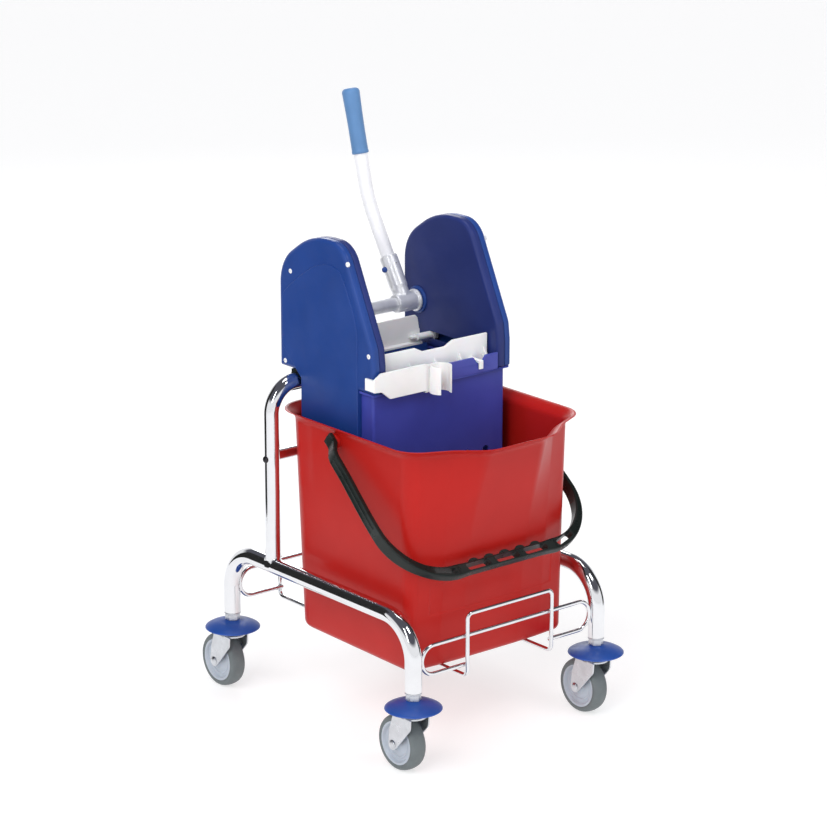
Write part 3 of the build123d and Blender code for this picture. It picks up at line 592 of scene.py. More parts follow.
BUMPER_PROFILE = [
    (6, 107.6), (10.2, 107.8), (12.0, 107.3), (14.5, 106.3), (18, 105.7), (22, 104.9),
    (26, 103.8), (30, 102.4), (34, 100.7), (37, 99.1), (38.9, 97.9), (39.8, 96.9),
    (39.9, 96.2), (39.3, 95.7), (38.2, 95.8), (36, 96.9), (33, 98.5), (28, 100.5),
    (22, 102.2), (14.4, 103.2), (14.2, 97.4), (13.8, 97.1), (6, 97.1),
]
HUB_PROFILE = [
    (4.2, -14.6), (8.2, -14.7), (8.9, -14.3), (9.3, -13.0), (10, -11.8), (11.4, -10.6),
    (13, -9.6), (16, -8.7), (18.6, -8.2), (19.3, -8.6), (19.9, -9.2), (21.4, -9.2),
    (22.0, -8.7), (22.5, -8.2), (25.5, -8.1), (26.4, -8.9), (27.4, -10.9), (28.2, -11.6),
    (30.9, -11.7),
]
HUB_PROFILE += [(r, -z) for r, z in reversed(HUB_PROFILE)]
TYRE_PROFILE = [
    (30.8, -11.4), (31.6, -12.0), (32.6, -12.4), (33.4, -12.4), (33.8, -12.0), (34.3, -12.2),
    (35.3, -12.1), (36.6, -11.4), (37.8, -10.2), (38.6, -8.8), (39.2, -6.8), (39.65, -4.4),
    (39.93, -2.0), (39.98, 0.0),
]
TYRE_PROFILE += [(r, -z) for r, z in reversed(TYRE_PROFILE[:-1])]


def cheek(x, inner, outer):
    """Pressed side of a fork, from its crown down to the axle."""
    wheel_x = x - TRAIL
    outline = [
        (x - 22.5, 86), (x + 14.5, 86), (x + 13.5, 70), (wheel_x + 8.8, 37),
        (wheel_x + 2, 31.2), (wheel_x - 5, 32), (wheel_x - 9, 40), (wheel_x - 6.5, 62),
    ]
    outline = rounded(outline, [5, 2, 12, 6, 6, 5, 6, 14], 6)
    return prism(outline, min(inner, outer), max(inner, outer), "Y")


for corner, (x, y) in CORNERS.items():
    castor, wheel = f"castor_{corner}", f"wheel_{corner}"
    up = Matrix.Translation((x, y, 0))
    lathed(
        f"bumper_dome_{corner}", BUMPER_PROFILE, up, BUMPER, "frame", "blue_bumper",
        [f"bumper_{corner}"], 96, 40,
    )
    race = [
        (0.01, 79.8), (6.4, 79.9), (7.4, 80.6), (7.8, 81.6), (7.8, 82.7), (5, 82.8), (5, 90.4),
        (16.6, 90.4), (17.8, 91.2), (18.2, 92.4), (17.6, 93.8), (15.4, 96.6), (6, 97),
        (6, 137.5), (0.01, 137.6),
    ]
    lathed(
        f"race_{corner}", race, up, ZINC, "frame", "zinc", [f"castor_head_{corner}"], 48, 35,
    )
    plug = [(6, 117.2), (11.6, 117.2), (11.9, 117.6), (11.9, 118.7), (11.4, 119), (6, 119)]
    lathed(f"leg_plug_{corner}", plug, up, ZINC, "frame", "zinc", ["leg_plugs"], 48, 35)
    hexagon = ring(10.9, 6)
    nut = piece(
        f"stem_nut_{corner}", *prism(hexagon, 108.1, 117.0, "Z"), ZINC, "frame", "zinc",
        ["stem_nuts"], 30, up,
    )
    bevel(nut, 0.7, 2)

    # Fork: two cheeks under a crown with a round front, and the race seat on it.
    crown_line = []
    for k in range(25):
        angle = -math.pi / 2 + math.pi * k / 24
        crown_line.append((x + 1 + 17.2 * math.cos(angle), y + 17.8 * math.sin(angle)))
    crown_line += [(x - 22.5, y + 17.8), (x - 22.5, y - 17.8)]
    fork = piece(
        f"fork_body_{corner}",
        *many(prism(crown_line, 83.4, 86.4, "Z"), cheek(x, y + 15.2, y + 17.8),
              cheek(x, y - 15.2, y - 17.8)),
        ZINC, castor, "zinc", [f"fork_{corner}"], 30,
    )
    bevel(fork, 0.8, 3, 25)
    seat = [
        (5.2, 86.2), (14.6, 86.2), (15.8, 87.0), (16.4, 88.4), (16.4, 89.6), (15.8, 90.1),
        (5.2, 90.1),
    ]
    lathed(f"fork_seat_{corner}", seat, up, ZINC, castor, "zinc", (), 48, 35)

    # Axle: domed head to the right, hexagon nut and washer to the left.
    wx = x - TRAIL
    axle = along((wx, y, WHEEL_R), (0, -1, 0))
    head = [
        (0.01, 21.0), (2.6, 20.8), (4.9, 20.0), (6.1, 18.9), (6.4, 17.9), (4, 17.8),
        (4, -17.8), (6.9, -17.8), (7.0, -18.4), (6.6, -18.7), (4.2, -18.8), (4.0, -22.6),
        (3.2, -23.0), (0.01, -23.1),
    ]
    lathed(
        f"axle_bolt_{corner}", head, axle, ZINC, castor, "zinc", [f"wheel_axle_{corner}"], 40, 35,
    )
    nut_place = along((wx, y + 18.8, WHEEL_R), (0, 1, 0))
    nut = piece(
        f"axle_nut_{corner}", *prism(ring(7.2, 6), 0, 3.4, "Z"), ZINC, castor, "zinc", (), 30,
        nut_place,
    )
    bevel(nut, 0.5, 2)

    lathed(
        f"hub_disc_{corner}", HUB_PROFILE, axle, HUB, wheel, "hub_plastic",
        [f"wheel_hub_{corner}"], 96, 28,
    )
    lathed(
        f"tyre_ring_{corner}", TYRE_PROFILE, axle, TYRE, wheel, "tyre_rubber",
        [f"tyre_{corner}"], 96, 40,
    )


# ------------------------------------------------------------------------ bucket
HALF_BASE = [(-83, 135), (175, 141), (179.5, 92), (181, 50)]
HALF_PLAIN = [(-93, 145), (181.3, 145), (205.5, 92), (210, 56)]
HALF_BULGE = [(-93, 145), (181.3, 145), (206.5, 92), (238, 52)]
ROUND_BASE = [30, 12, 40, 30]
ROUND_RIM = [35, 32, 45, 28]


def smooth_step(value):
    """Eased ramp from 0 to 1."""
    value = max(0.0, min(1.0, value))
    return value * value * (3 - 2 * value)


def bucket_ring(z, inset):
    """Closed outline of the bucket at height z, moved inwards by inset."""
    grow = (z - BUCKET_LOW) / (BUCKET_TOP - BUCKET_LOW)
    bulge = max(0.0, (z - BULGE_FROM) / (BUCKET_TOP - BULGE_FROM)) ** 1.5
    half = []
    for base, plain, full in zip(HALF_BASE, HALF_PLAIN, HALF_BULGE):
        half.append(tuple(
            base[i] + grow * (plain[i] - base[i]) + bulge * (full[i] - plain[i])
            for i in (0, 1)
        ))
    radii = [a + grow * (b - a) for a, b in zip(ROUND_BASE, ROUND_RIM)]
    points = half + [(a, -b) for a, b in reversed(half)]
    radii = radii + radii[::-1]
    sides = []
    for i, (px, py) in enumerate(points):
        dx = points[(i + 1) % 8][0] - px
        dy = points[(i + 1) % 8][1] - py
        size = math.hypot(dx, dy)
        sides.append((px + inset * dy / size, py - inset * dx / size, dx, dy))
    corners = []
    for i, (px, py, dx, dy) in enumerate(sides):
        qx, qy, qdx, qdy = sides[i - 1]
        run = ((px - qx) * dy - (py - qy) * dx) / (qdx * dy - qdy * dx)
        corners.append((qx + run * qdx, qy + run * qdy))
    eased = []
    for i, radius in enumerate(radii):
        hollow = i in (2, 5) and z > 300
        eased.append(radius + inset if hollow else max(radius - inset, 4))
    return [Vector(p) for p in rounded(corners, eased, 14)]


CORNER_STEPS, WALL_STEPS = 15, 30


def spaced(z, inset):
    """Points of the outline at the same share of each side for every height."""
    closed = bucket_ring(z, inset)
    result = []
    for start in range(0, len(closed), CORNER_STEPS):
        corner = closed[start:start + CORNER_STEPS]
        begin, end = corner[-1], closed[(start + CORNER_STEPS) % len(closed)]
        result += corner
        for k in range(1, WALL_STEPS + 1):
            result.append(begin.lerp(end, k / (WALL_STEPS + 1)))
    return result


def relief(point, z, outside):
    """Small moulded steps of the wall, as an offset along its outward normal."""
    depth = 0.0
    x, y = point.x, point.y
    # Stepped border low on the front wall and the sides.
    if outside and x > 150 and abs(y) < 120:
        inner = smooth_step((112 - abs(y)) / 2.5) * smooth_step((z - 205) / 2.5)
        inner *= smooth_step((262 - 0.12 * abs(y) - z) / 2.5)
        depth -= 0.9 * inner
    # Recess beside the rear corner, under the rim.
    if abs(y) > 128 and x < 0:
        recess = smooth_step((x + 62) / 3) * smooth_step((-38 - x) / 3)
        recess *= smooth_step((z - 330) / 30) * smooth_step((434 - z) / 3)
        depth -= 1.3 * recess
    return depth


def bucket_shell():
    """Wall from (height, inset) rings: up the outside, over the rolled lip, down the inside."""
    levels = [
        (125, 8), (125.3, 6.4), (126.2, 4.7), (127.6, 3.0), (129.6, 1.5), (132, 0.5), (134.5, 0),
    ]
    levels += [(z, 0) for z in (150, 175, 198, 202, 204, 205.5, 207, 208.5, 215, 230, 245, 248)]
    levels += [(z, 0) for z in (250, 252, 254, 256, 258, 260, 262, 264, 275, 290, 305, 318)]
    levels += [(z, 0) for z in (328, 336, 344, 352, 362, 372, 382, 392, 402, 412, 420, 426)]
    levels += [
        (430, 0), (432, 0), (434.5, -0.2), (437, -1.0), (439.5, -2.4), (442, -4.6),
        (444.2, -7.4), (446.0, -10.4), (447.2, -12.6), (447.7, -13.6), (447.6, -14.0),
        (447.2, -14.2),
    ]
    levels_in = [
        (447.9, -12.2), (447.2, -10.2), (445.6, -7.0), (443.4, -3.8), (440.4, -0.6),
        (437.4, 1.6), (434, 2.7), (430, 3),
    ]
    levels_in += [(z, 3) for z in (400, 370, 340, 310, 280, 250, 220, 190, 160, 145)]
    levels_in += [(139, 3.2), (134.5, 4.2), (131, 6), (128.8, 8.6), (128, 12)]
    rings = [(z, inset, True) for z, inset in levels]
    rings += [(z, inset, False) for z, inset in levels_in]
    verts = []
    for z, inset, outside in rings:
        points = spaced(z, inset)
        count = len(points)
        for i, point in enumerate(points):
            ahead, behind = points[(i + 1) % count], points[i - 1]
            tangent = (ahead - behind).normalized()
            normal = Vector((tangent.y, -tangent.x))
            middle = Vector((50, 0))
            if normal.dot(point - middle) < 0:
                normal = -normal
            stepped = point + normal * relief(point, z, outside)
            verts.append((stepped.x, stepped.y, z))
    return verts, skin(len(rings), count)


piece("bucket_shell", *bucket_shell(), RED, "frame", "red_plastic", ["bucket"], 60)

# Round bosses for the bail, with its studs.
bosses = []
for sign in (1, -1):
    boss = [
        (0.01, 13.2), (3.6, 13.2), (4.7, 12.8), (5.0, 12.2), (5.0, 8.0), (9.8, 7.9), (10.8, 7.2),
        (11.0, 6.4), (11.2, 2.0), (12.4, 0.6), (13.0, -0.4), (0.01, -0.4),
    ]
    place = along((BAIL_X, sign * EAR_Y, BAIL_Z), (0, sign, 0))
    bosses.append(moved(lathe(boss, 48), place))
piece("bail_bosses", *many(*bosses), RED, "frame", "red_plastic", ["bail_studs"], 35)

# -------------------------------------------------------------------------- bail
HANG = Matrix.Translation((BAIL_X, 0, BAIL_Z))
HANG = HANG @ Matrix.Rotation(math.radians(BAIL_HANG), 4, "Y")


def bail_half(sign):
    """Centre line and in-plane half width along one half of the bail, from eye to middle."""
    line = []
    for x, y, half in (
        (-8.5, 154, 3.0), (0, 154, 3.0), (6, 154.4, 3.0), (13, 158.8, 3.1), (20, 163.2, 3.1),
        (28, 165.3, 3.1), (45, 166.0, 3.1), (60, 166.6, 3.1), (85, 168.6, 3.1), (110, 170.6, 3.1),
        (130, 172.0, 3.1), (150, 172.8, 3.1),
    ):
        line.append((x, sign * y, half))
    for k in range(1, 25):
        angle = math.radians(90 - 90 * k / 24)
        outer = Vector((161 + 91.8 * math.cos(angle), 84 + 91.8 * math.sin(angle)))
        inner = Vector((159 + 77.1 * math.cos(angle), 93 + 77.1 * math.sin(angle)))
        mid = (outer + inner) / 2
        line.append((mid.x, sign * mid.y, (outer - inner).length / 2))
    for y in (66, 44, 22, 0):
        line.append((244.4, sign * y, 8.2))
    return line


def bail_body():
    """Loft along the whole bow: thin and deep at the arms, broad and flat at the grip."""
    right = bail_half(-1)
    left = bail_half(1)
    line = left + right[-2::-1]
    rows = []
    for i, (x, y, half) in enumerate(line):
        ahead = line[min(i + 1, len(line) - 1)]
        behind = line[max(i - 1, 0)]
        tangent = Vector((ahead[0] - behind[0], ahead[1] - behind[1])).normalized()
        normal = Vector((tangent.y, -tangent.x))
        share = smooth_step((half - 3.1) / 5.0)
        depth = 9.9 + share * (6.3 - 9.9)
        if i < 2 or i > len(line) - 3:
            depth = 9.6
        soft = min(half, depth) * 0.42
        section = rounded(
            [(-half, -depth), (half, -depth), (half, depth), (-half, depth)], soft, 5
        )
        rows.append([
            (x + normal.x * a, y + normal.y * a, b) for a, b in section
        ])
    return [point for row in rows for point in row], skin(len(rows), len(rows[0]))


def slot_tool(cx, cy, width, length, turn, skew=0.0):
    """Rounded block that cuts a window, turned by degrees and skewed lengthwise."""
    half_w, half_l = width / 2, length / 2
    outline = rounded(
        [(-half_w, -half_l - skew), (half_w, -half_l + skew), (half_w, half_l + skew),
         (-half_w, half_l - skew)], 3.0, 5,
    )
    angle = math.radians(turn)
    placed = [
        (cx + a * math.cos(angle) - b * math.sin(angle),
         cy + a * math.sin(angle) + b * math.cos(angle)) for a, b in outline
    ]
    return prism(placed, -20, 20, "Z")


body = raw(*bail_body())
bumps = []
for y in (-56, -28, 0, 28, 56):
    outline = [
        (236.6 + 4.3 * math.cos(a), y + 8 * math.sin(a))
        for a in [2 * math.pi * k / 32 for k in range(32)]
    ]
    bumps.append(prism(outline, -5.4, 5.4, "Z"))
combine(body, raw(*many(*bumps)), "UNION")
windows = [slot_tool(244.6, y, 10.6, 41, 0, 1.5) for y in (-52, 0, 52)]
windows += [slot_tool(240.8, 108, 8.6, 34, 17), slot_tool(240.8, -108, 8.6, 34, -17)]
combine(body, raw(*many(*windows)))
# Two grooves along the outside of each arm, with a rib between them.
groove = rounded([(-0.9, -3.2), (0.9, -3.2), (0.9, 3.2), (-0.9, 3.2)], 0.8, 3)
channels = []
for sign in (1, -1):
    for shift in (-4.6, 4.6):
        arm = bail_half(sign)[5:12]
        edge = [Vector((x, y + sign * 3.0, shift)) for x, y, width in arm]
        channels.append(sweep(edge, groove))
combine(body, raw(*many(*channels)))
eyes = []
for sign in (1, -1):
    profile = [
        (5.3, 0.3), (8.9, 0.3), (9.7, 0.9), (9.9, 1.8), (9.9, 4.4), (9.6, 5.4), (8.8, 6.0),
        (6.2, 6.1), (5.3, 5.6),
    ]
    place = along((0, sign * 151, 0), (0, sign, 0))
    eyes.append(moved(lathe(profile, 48), place))
drill = []
for sign in (1, -1):
    near, far = sorted((sign * 148, sign * 156.1))
    drill.append(prism(ring(5.25, 32), near, far, "Y"))
combine(body, raw(*many(*eyes)), "UNION")
combine(body, raw(*many(*drill)))
handle = piece("bail_handle", *taken(body), BLACK, "bail", "black_plastic", ["bail"], 30, HANG)
bevel(handle, 0.5, 2, 35)


# ------------------------------------------------------------------ CAD copies
def refined(node, name, mat, body, width, segments=3, angle=30.0):
    """Copy of a CAD solid with clean flats and rounded edges, in place of the solid."""
    source = frame["nodes"][node].data
    mesh = source.copy()
    mesh.name = name
    work = bmesh.new()
    work.from_mesh(mesh)
    bmesh.ops.remove_doubles(work, verts=work.verts, dist=2e-6)
    bmesh.ops.dissolve_limit(
        work, angle_limit=math.radians(1.0), verts=work.verts, edges=work.edges,
        delimit={"NORMAL"},
    )
    bmesh.ops.recalc_face_normals(work, faces=work.faces)
    work.to_mesh(mesh)
    work.free()
    if mesh.has_custom_normals:
        mesh.normals_split_custom_set([(0, 0, 0)] * len(mesh.loops))
    obj = bpy.data.objects.new(name, mesh)
    bpy.context.scene.collection.objects.link(obj)
    mesh.materials.clear()
    mesh.materials.append(mat)
    shade(obj, 30)
    bevel(obj, width, segments, angle)
    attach(obj, body)
    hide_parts(node)
    return obj


# --------------------------------------------------------------- side housings
SHELL_POINTS = [
    (-130, 497), (-130, 650), (-60, 697), (12, 697), (77, 561), (80, 535), (80, 497),
]
SHELL_BENDS = [3, 60, 112, 40, 30, 15, 3]
SLOT_REAR, SLOT_FRONT, SLOT_Z, SLOT_R = -70, -10, 515, 5.6
SCREWS = [(-103, 638), (24, 671), (70, 551), (-117, 506)]


def shell_outline(inset):
    """Side outline of a housing, moved inwards by inset; the foot stays on its ledge."""
    points, sides, corners = SHELL_POINTS, [], []
    for i, (x, z) in enumerate(points):
        dx, dz = points[(i + 1) % 7][0] - x, points[(i + 1) % 7][1] - z
        size = math.hypot(dx, dz)
        sides.append((x + inset * dz / size, z - inset * dx / size, dx, dz))
    for i, (x, z, dx, dz) in enumerate(sides):
        px, pz, pdx, pdz = sides[i - 1]
        run = ((x - px) * dz - (z - pz) * dx) / (pdx * dz - pdz * dx)
        corners.append((px + run * pdx, pz + run * pdz))
    radii = [max(r - inset, 1.0) for r in SHELL_BENDS]
    return rounded(corners, radii, 14)


def tray(sign, outer_rings, inner_rings):
    """Shell from (|Y|, inset) rings: outside from rim to face, then back along the inside."""
    verts, faces = [], []
    rows = [(y, shell_outline(inset)) for y, inset in outer_rings + inner_rings]
    count = len(rows[0][1])
    for y, outline in rows:
        verts += [(x, sign * y, z) for x, z in outline]

    def band(r, s):
        for i in range(count):
            j = (i + 1) % count
            faces.append([r * count + i, r * count + j, s * count + j, s * count + i])

    split = len(outer_rings)
    for r in range(split - 1):
        band(r, r + 1)
    for r in range(split, len(rows) - 1):
        band(r, r + 1)
    band(0, len(rows) - 1)
    faces.append(list(range((split - 1) * count, split * count)))
    faces.append(list(range((split + 1) * count - 1, split * count - 1, -1)))
    return verts, faces


PANEL = [
    (-80, 402), (46.5, 402), (46.5, 581), (37, 609), (20, 642), (8, 660), (-17, 665.5),
    (-52, 654), (-85, 633), (-122, 604), (-122, 528), (-98, 505), (-80, 489),
]

for side, sign in SIDES.items():
    # Inner half, with its bore and jaw slot cut through.
    outer = [
        (112.6, 0.9), (112.2, 0.2), (111.6, 0.0), (105.4, 0.0), (103.6, 0.4), (102.0, 1.3),
        (100.9, 2.6), (100.2, 4.2), (100.0, 6.0),
    ]
    inner = [(103.0, 7.6), (103.4, 5.0), (104.6, 3.4), (106.5, 3.0), (112.6, 3.0)]
    body = raw(*tray(sign, outer, inner))
    cut = []
    for start_x, turn in ((SLOT_REAR, math.pi / 2), (SLOT_FRONT, -math.pi / 2)):
        for k in range(33):
            angle = turn + math.pi * k / 32
            cut.append((start_x + SLOT_R * math.cos(angle), SLOT_Z + SLOT_R * math.sin(angle)))
    near, far = sorted((sign * 95, sign * 108))
    combine(body, raw(*prism(cut, near, far, "Y")))
    combine(body, raw(*prism(ring(17, 64, (AXLE_X, AXLE_Z)), near, far, "Y")))
    # The inner half takes the darker blue, which is painted shade.
    piece(
        f"housing_half_{side}", *taken(body), SHADED_BLUE, "wringer", "blue_plastic",
        [f"housing_{side}"], 38,
    )
    # Outer half with a broad rounded edge.
    outer = [
        (113.2, 0.9), (113.5, 0.2), (114.0, 0.0), (119.2, 0.0), (121.0, 0.35), (122.5, 1.1),
        (123.7, 2.3), (124.5, 3.9), (124.85, 5.8), (125.0, 8.5),
    ]
    inner = [(122.0, 12.0), (121.6, 8.0), (120.4, 5.2), (118.4, 3.4), (116.4, 3.0), (113.2, 3.0)]
    piece(
        f"cover_shell_{side}", *taken(raw(*tray(sign, outer, inner))), BLUE, "wringer",
        "blue_plastic", [f"cover_{side}"], 38,
    )
    # Raised field that runs on down the side of the basket.
    outline = rounded(PANEL, [2, 6, 60, 40, 30, 22, 40, 60, 60, 24, 8, 8, 5], 10)
    near, far = sorted((sign * 117.6, sign * 126.1))
    field = piece(
        f"cover_field_{side}", *prism(outline, near, far, "Y"), BLUE, "wringer",
        "blue_plastic", sharp=30,
    )
    bevel(field, 1.1, 4, 40)
    # Rubbed screw heads in shallow seats, with a small round recess in each.
    for k, (x, z) in enumerate(SCREWS):
        proud = 125.6 if x == 24 else 126.2
        profile = [
            (0.9, proud - 1.6), (1.0, proud - 0.5), (2.0, proud - 0.35), (3.0, proud - 0.7),
            (3.5, proud - 1.2), (3.6, 122.5), (0.9, 122.5),
        ]
        place = along((x, 0, z), (0, sign, 0))
        lathed(
            f"cover_screw_{side}_{k}", profile, place, CAP, "wringer", "white_cap",
            ["cover_screws"], 32, 35,
        )

# --------------------------------------------------------------- basket and jaws
basket = refined(
    "wringer_basket", "basket_shell", VIOLET, "wringer", 0.8, 2, 35,
)
# The ledge's corners are tucked in under the covers.
for vertex in basket.data.vertices:
    place = vertex.co
    if 0.4930 < place.z < 0.4975 and abs(place.y) > 0.1225:
        place.y = math.copysign(0.1222, place.y)
        place.x = min(place.x, 0.0772)
refined("front_jaw", "front_jaw_plate", WHITE, "wringer", 0.75, 3, 35)
refined("pole_clip", "pole_clip_body", WHITE, "wringer", 0.9, 3, 35)
refined("rear_jaw", "rear_jaw_head", WHITE, "jaw", 0.7, 3, 35)
refined("press_plate", "press_plate_body", BLUE, "jaw", 0.7, 2, 35)
for side in SIDES:
    refined(
        f"hoop_saddle_{side}", f"saddle_{side}", BLACK, "wringer", 0.5, 2, 35,
    )

for side, sign in SIDES.items():
    bush = [
        (10.3, 0.3), (16.4, 0.0), (18.6, 0.3), (19.7, 1.2), (20, 2.2), (19.9, 3.2),
        (16.9, 3.3), (16.8, 6.4), (10.2, 6.4),
    ]
    place = along((AXLE_X, sign * 96.6, AXLE_Z), (0, sign, 0))
    lathed(
        f"bush_ring_{side}", bush, place, BLUE, "wringer", "blue_plastic",
        [f"axle_bush_{side}"], 72, 35,
    )

# -------------------------------------------------------------------------- lever
axle_line = [(AXLE_X, -118.6, AXLE_Z), (AXLE_X, 118.6, AXLE_Z)]
piece(
    "axle_tube", *tube(axle_line, 1, 10, 56), ALUMINIUM, "lever", "aluminium",
    ["lever_axle"], 50,
)


def on_lean(distance):
    """Point on the lever's lower line, at a distance from the axle."""
    return (
        AXLE_X - math.sin(LEAN) * distance, LEVER_Y, AXLE_Z + math.cos(LEAN) * distance,
    )


def casting():
    """Tee with blended junctions: solids joined, remeshed and relaxed."""
    lean = along(on_lean(0), Vector(on_lean(1)) - Vector(on_lean(0)))
    across = along((AXLE_X, LEVER_Y, AXLE_Z), (0, 1, 0))
    sleeve = [
        (0.01, -18), (12.6, -18), (13.5, -17), (13.5, 18), (16.6, 18.2), (16.6, 22), (0.01, 22),
    ]
    stem = [
        (0.01, 0), (12.2, 0), (12.2, 21), (13.3, 23), (13.3, 70), (12.8, 71), (0.01, 71),
    ]
    body = raw(*moved(lathe(sleeve, 64), across))
    combine(body, raw(*moved(lathe(stem, 64), lean)), "UNION")
    mod = body.modifiers.new("remesh", "REMESH")
    mod.mode = "VOXEL"
    mod.voxel_size = 0.0011
    settle(body)
    mod = body.modifiers.new("relax", "SMOOTH")
    mod.factor = 0.5
    mod.iterations = 12
    settle(body)
    socket = lathe([(0.01, 31.5), (10.05, 31.5), (10.05, 90), (0.01, 90)], 64)
    bore = lathe([(0.01, -40), (10.05, -40), (10.05, 40), (0.01, 40)], 64)
    seat = lathe([(0.01, 0), (4.3, 0), (4.3, 30), (0.01, 30)], 32)
    rivet = lathe([(0.01, 0), (1.5, 0), (1.5, 30), (0.01, 30)], 24)
    button = along(on_lean(52), (0, -1, 0))
    pin = along(on_lean(56), (1, 0, 0.6))
    for cutter, place in ((socket, lean), (bore, across), (seat, button), (rivet, pin)):
        combine(body, raw(*moved(cutter, place)))
    return taken(body)


piece("tee_casting", *casting(), ALUMINIUM, "lever", "aluminium", ["lever_tee"], 55)

TOP_SLOPE = 0.253
BEND = (AXLE_X - math.tan(LEAN) * 137.0, LEVER_Y, 699.0)
tip = (BEND[0] - TOP_SLOPE * 151, LEVER_Y, 850)
piece(
    "lever_pipe", *tube([on_lean(31.6), BEND, tip], 190, 9.95, 56, 1.5), WHITE_PAINT,
    "lever", "white_paint", ["lever_tube"], 50,
)
button = [
    (0.01, 17.4), (2.4, 17.3), (3.4, 16.6), (3.9, 15.4), (3.95, 7.8), (0.01, 7.8),
]
lathed(
    "spring_button", button, along(on_lean(52), (0, -1, 0)), BLUE, "lever", "blue_plastic",
    ["lever_button"], 32, 35,
)

grip = [(10.02, 0.2), (11.2, 0.0), (11.9, 0.5), (12.25, 1.6), (12.25, 3.6), (12.0, 4.6)]
for k in range(40):
    height = 6 + 82 * k / 39
    share = k / 39
    grip.append((11.9 - 0.25 * math.sin(math.pi * share) + 1.0 * share ** 2, height))
grip += [
    (12.85, 90), (12.3, 91.7), (11.2, 93.2), (9.6, 94.3), (7.4, 95.0), (4.0, 95.2), (0.01, 95.2),
]
origin = (BEND[0] - TOP_SLOPE * 64, LEVER_Y, 763)
lathed(
    "hand_grip", grip + [(0.01, 93), (10.02, 92)], along(origin, (-TOP_SLOPE, 0, 1)), GRIP, "lever",
    "grip_plastic", ["lever_grip"], 72, 35,
)


# ------------------------------------------------------- materials on CAD nodes
FINISH = {
    "chrome_tube": CHROME, "chrome_wire": WIRE, "dark_screw": DARK_SCREW, "zinc": ZINC,
    "blue_bumper": BUMPER, "hub_plastic": HUB, "tyre_rubber": TYRE, "red_plastic": RED,
    "black_plastic": BLACK, "blue_plastic": BLUE, "white_cap": CAP, "white_plastic": WHITE,
    "aluminium": ALUMINIUM, "white_paint": WHITE_PAINT, "grip_plastic": GRIP,
    "grey_nylon": NYLON,
}
for entry in frame["record"]["subparts"]:
    node = frame["nodes"][entry["node"]]
    for material_slot in node.material_slots:
        material_slot.material = FINISH[entry["material_slot"]]


# ------------------------------------------------------- floor, light and camera
def floor():
    """Wide pale floor that glows a little."""
    mesh = bpy.data.meshes.new("floor")
    verts = [(-60, -60, 0), (60, -60, 0), (60, 60, 0), (-60, 60, 0)]
    mesh.from_pydata(verts, [], [(0, 1, 2, 3)])
    obj = bpy.data.objects.new("floor", mesh)
    bpy.context.scene.collection.objects.link(obj)
    mat = bpy.data.materials.new("floor")
    mat.use_nodes = True
    shader = mat.node_tree.nodes["Principled BSDF"]
    shader.inputs["Base Color"].default_value = (0.50, 0.50, 0.50, 1)
    shader.inputs["Roughness"].default_value = 0.7
    shader.inputs["Specular IOR Level"].default_value = 0.2
    shader.inputs["Emission Color"].default_value = (1.0, 1.0, 1.0, 1)
    shader.inputs["Emission Strength"].default_value = 0.60
    mesh.materials.append(mat)
    obj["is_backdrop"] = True


floor()

world = bpy.data.worlds.new("studio")
bpy.context.scene.world = world
world.use_nodes = True
sky = world.node_tree
background = sky.nodes["Background"]
background.inputs["Strength"].default_value = 1.0
place = sky.nodes.new("ShaderNodeTexCoord")
split = sky.nodes.new("ShaderNodeSeparateXYZ")
ramp = sky.nodes.new("ShaderNodeValToRGB")
sky.links.new(place.outputs["Generated"], split.inputs["Vector"])
sky.links.new(split.outputs["Z"], ramp.inputs["Fac"])
sky.links.new(ramp.outputs["Color"], background.inputs["Color"])
ramp.color_ramp.elements[0].position = 0.30
ramp.color_ramp.elements[0].color = (0.95, 0.95, 0.96, 1)
ramp.color_ramp.elements[1].position = 0.46
ramp.color_ramp.elements[1].color = (0.10, 0.10, 0.12, 1)


def area_light(name, place, target, size, watts):
    """Rectangular light aimed at a point."""
    data = bpy.data.lights.new(name, "AREA")
    data.shape = "RECTANGLE"
    data.size, data.size_y = size
    data.energy = watts
    lamp = bpy.data.objects.new(name, data)
    bpy.context.scene.collection.objects.link(lamp)
    lamp.location = place
    aim = Vector(target) - Vector(place)
    lamp.rotation_euler = aim.to_track_quat("-Z", "Y").to_euler()


def sun(name, source, strength, spread):
    """Soft sun from a direction, left out of reflections."""
    data = bpy.data.lights.new(name, "SUN")
    data.energy = strength
    data.angle = math.radians(spread)
    lamp = bpy.data.objects.new(name, data)
    bpy.context.scene.collection.objects.link(lamp)
    lamp.visible_glossy = False
    lamp.rotation_euler = (-Vector(source)).to_track_quat("-Z", "Y").to_euler()


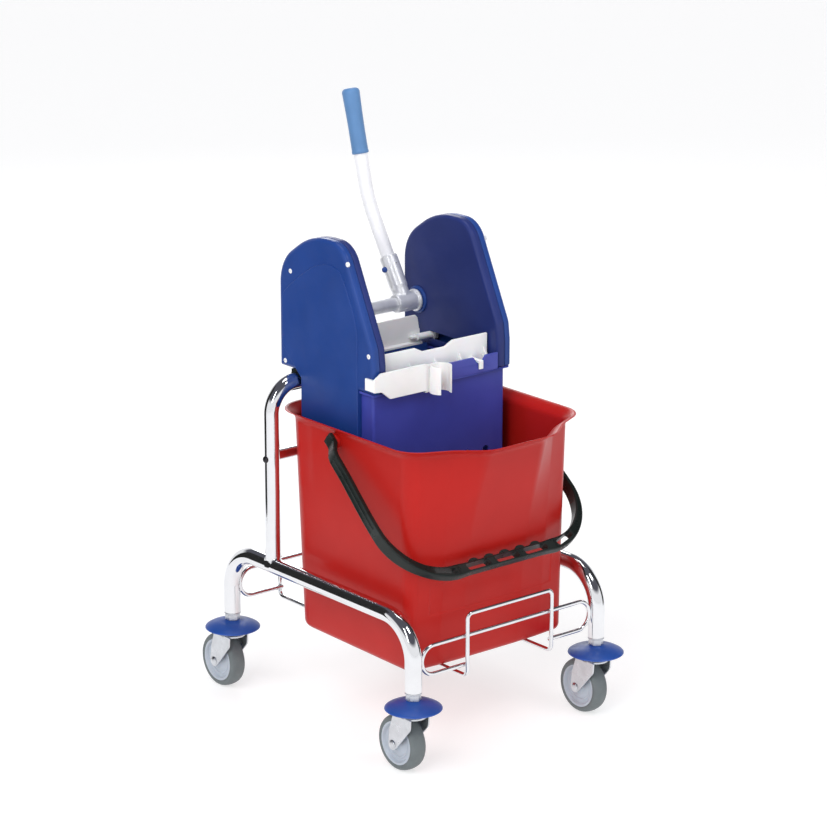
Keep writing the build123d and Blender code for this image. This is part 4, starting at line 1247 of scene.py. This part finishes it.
sun("key", (0.25, -0.75, 0.80), 1.75, 50)
sun("fill", (0.90, 0.10, 0.45), 0.55, 60)
area_light("strip", (1.6, -2.4, 2.2), (0, 0, 0.4), (0.35, 1.8), 14)
area_light("top", (-0.3, 0.2, 3.0), (0, 0, 0.4), (1.2, 1.2), 14)
area_light("edge", (1.7, 0.3, 2.6), (0, 0, 0.5), (0.7, 0.7), 11)
area_light("back", (-2.6, 1.8, 1.8), (0, 0, 0.4), (0.8, 1.5), 14)


def dark_card(name, centre, normal, width, height):
    """Black card beside the object, which chrome and gloss pick up as dark bands."""
    mesh = bpy.data.meshes.new(name)
    w, h = width / 2, height / 2
    mesh.from_pydata([(-w, -h, 0), (w, -h, 0), (w, h, 0), (-w, h, 0)], [], [(0, 1, 2, 3)])
    obj = bpy.data.objects.new(name, mesh)
    bpy.context.scene.collection.objects.link(obj)
    obj.location = centre
    obj.rotation_euler = Vector(normal).to_track_quat("Z", "Y").to_euler()
    mat = bpy.data.materials.new(name)
    mat.use_nodes = True
    shader = mat.node_tree.nodes["Principled BSDF"]
    shader.inputs["Base Color"].default_value = (0.01, 0.01, 0.01, 1)
    shader.inputs["Roughness"].default_value = 0.9
    mesh.materials.append(mat)
    obj.visible_camera = False
    obj.visible_diffuse = False
    obj.visible_shadow = False
    obj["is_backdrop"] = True


dark_card("dark_left", (-0.80, -0.72, 0.75), (0.74, 0.67, 0), 0.75, 1.5)
dark_card("dark_right", (0.46, 1.00, 0.75), (-0.42, -0.91, 0), 0.50, 1.5)

bpy.context.scene.view_settings.view_transform = "Standard"

camera_data = bpy.data.cameras.new("camera")
camera = bpy.data.objects.new("camera", camera_data)
bpy.context.scene.collection.objects.link(camera)
camera_data.lens = 138.6
camera_data.sensor_width = 36.0
camera_data.clip_end = 200.0
camera.location = (3.3235, -2.7332, 1.7095)
look = Vector((-0.0749, 0.07405, 0.400)) - camera.location
camera.rotation_euler = look.to_track_quat("-Z", "Y").to_euler()
bpy.context.scene.camera = camera

low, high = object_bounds()
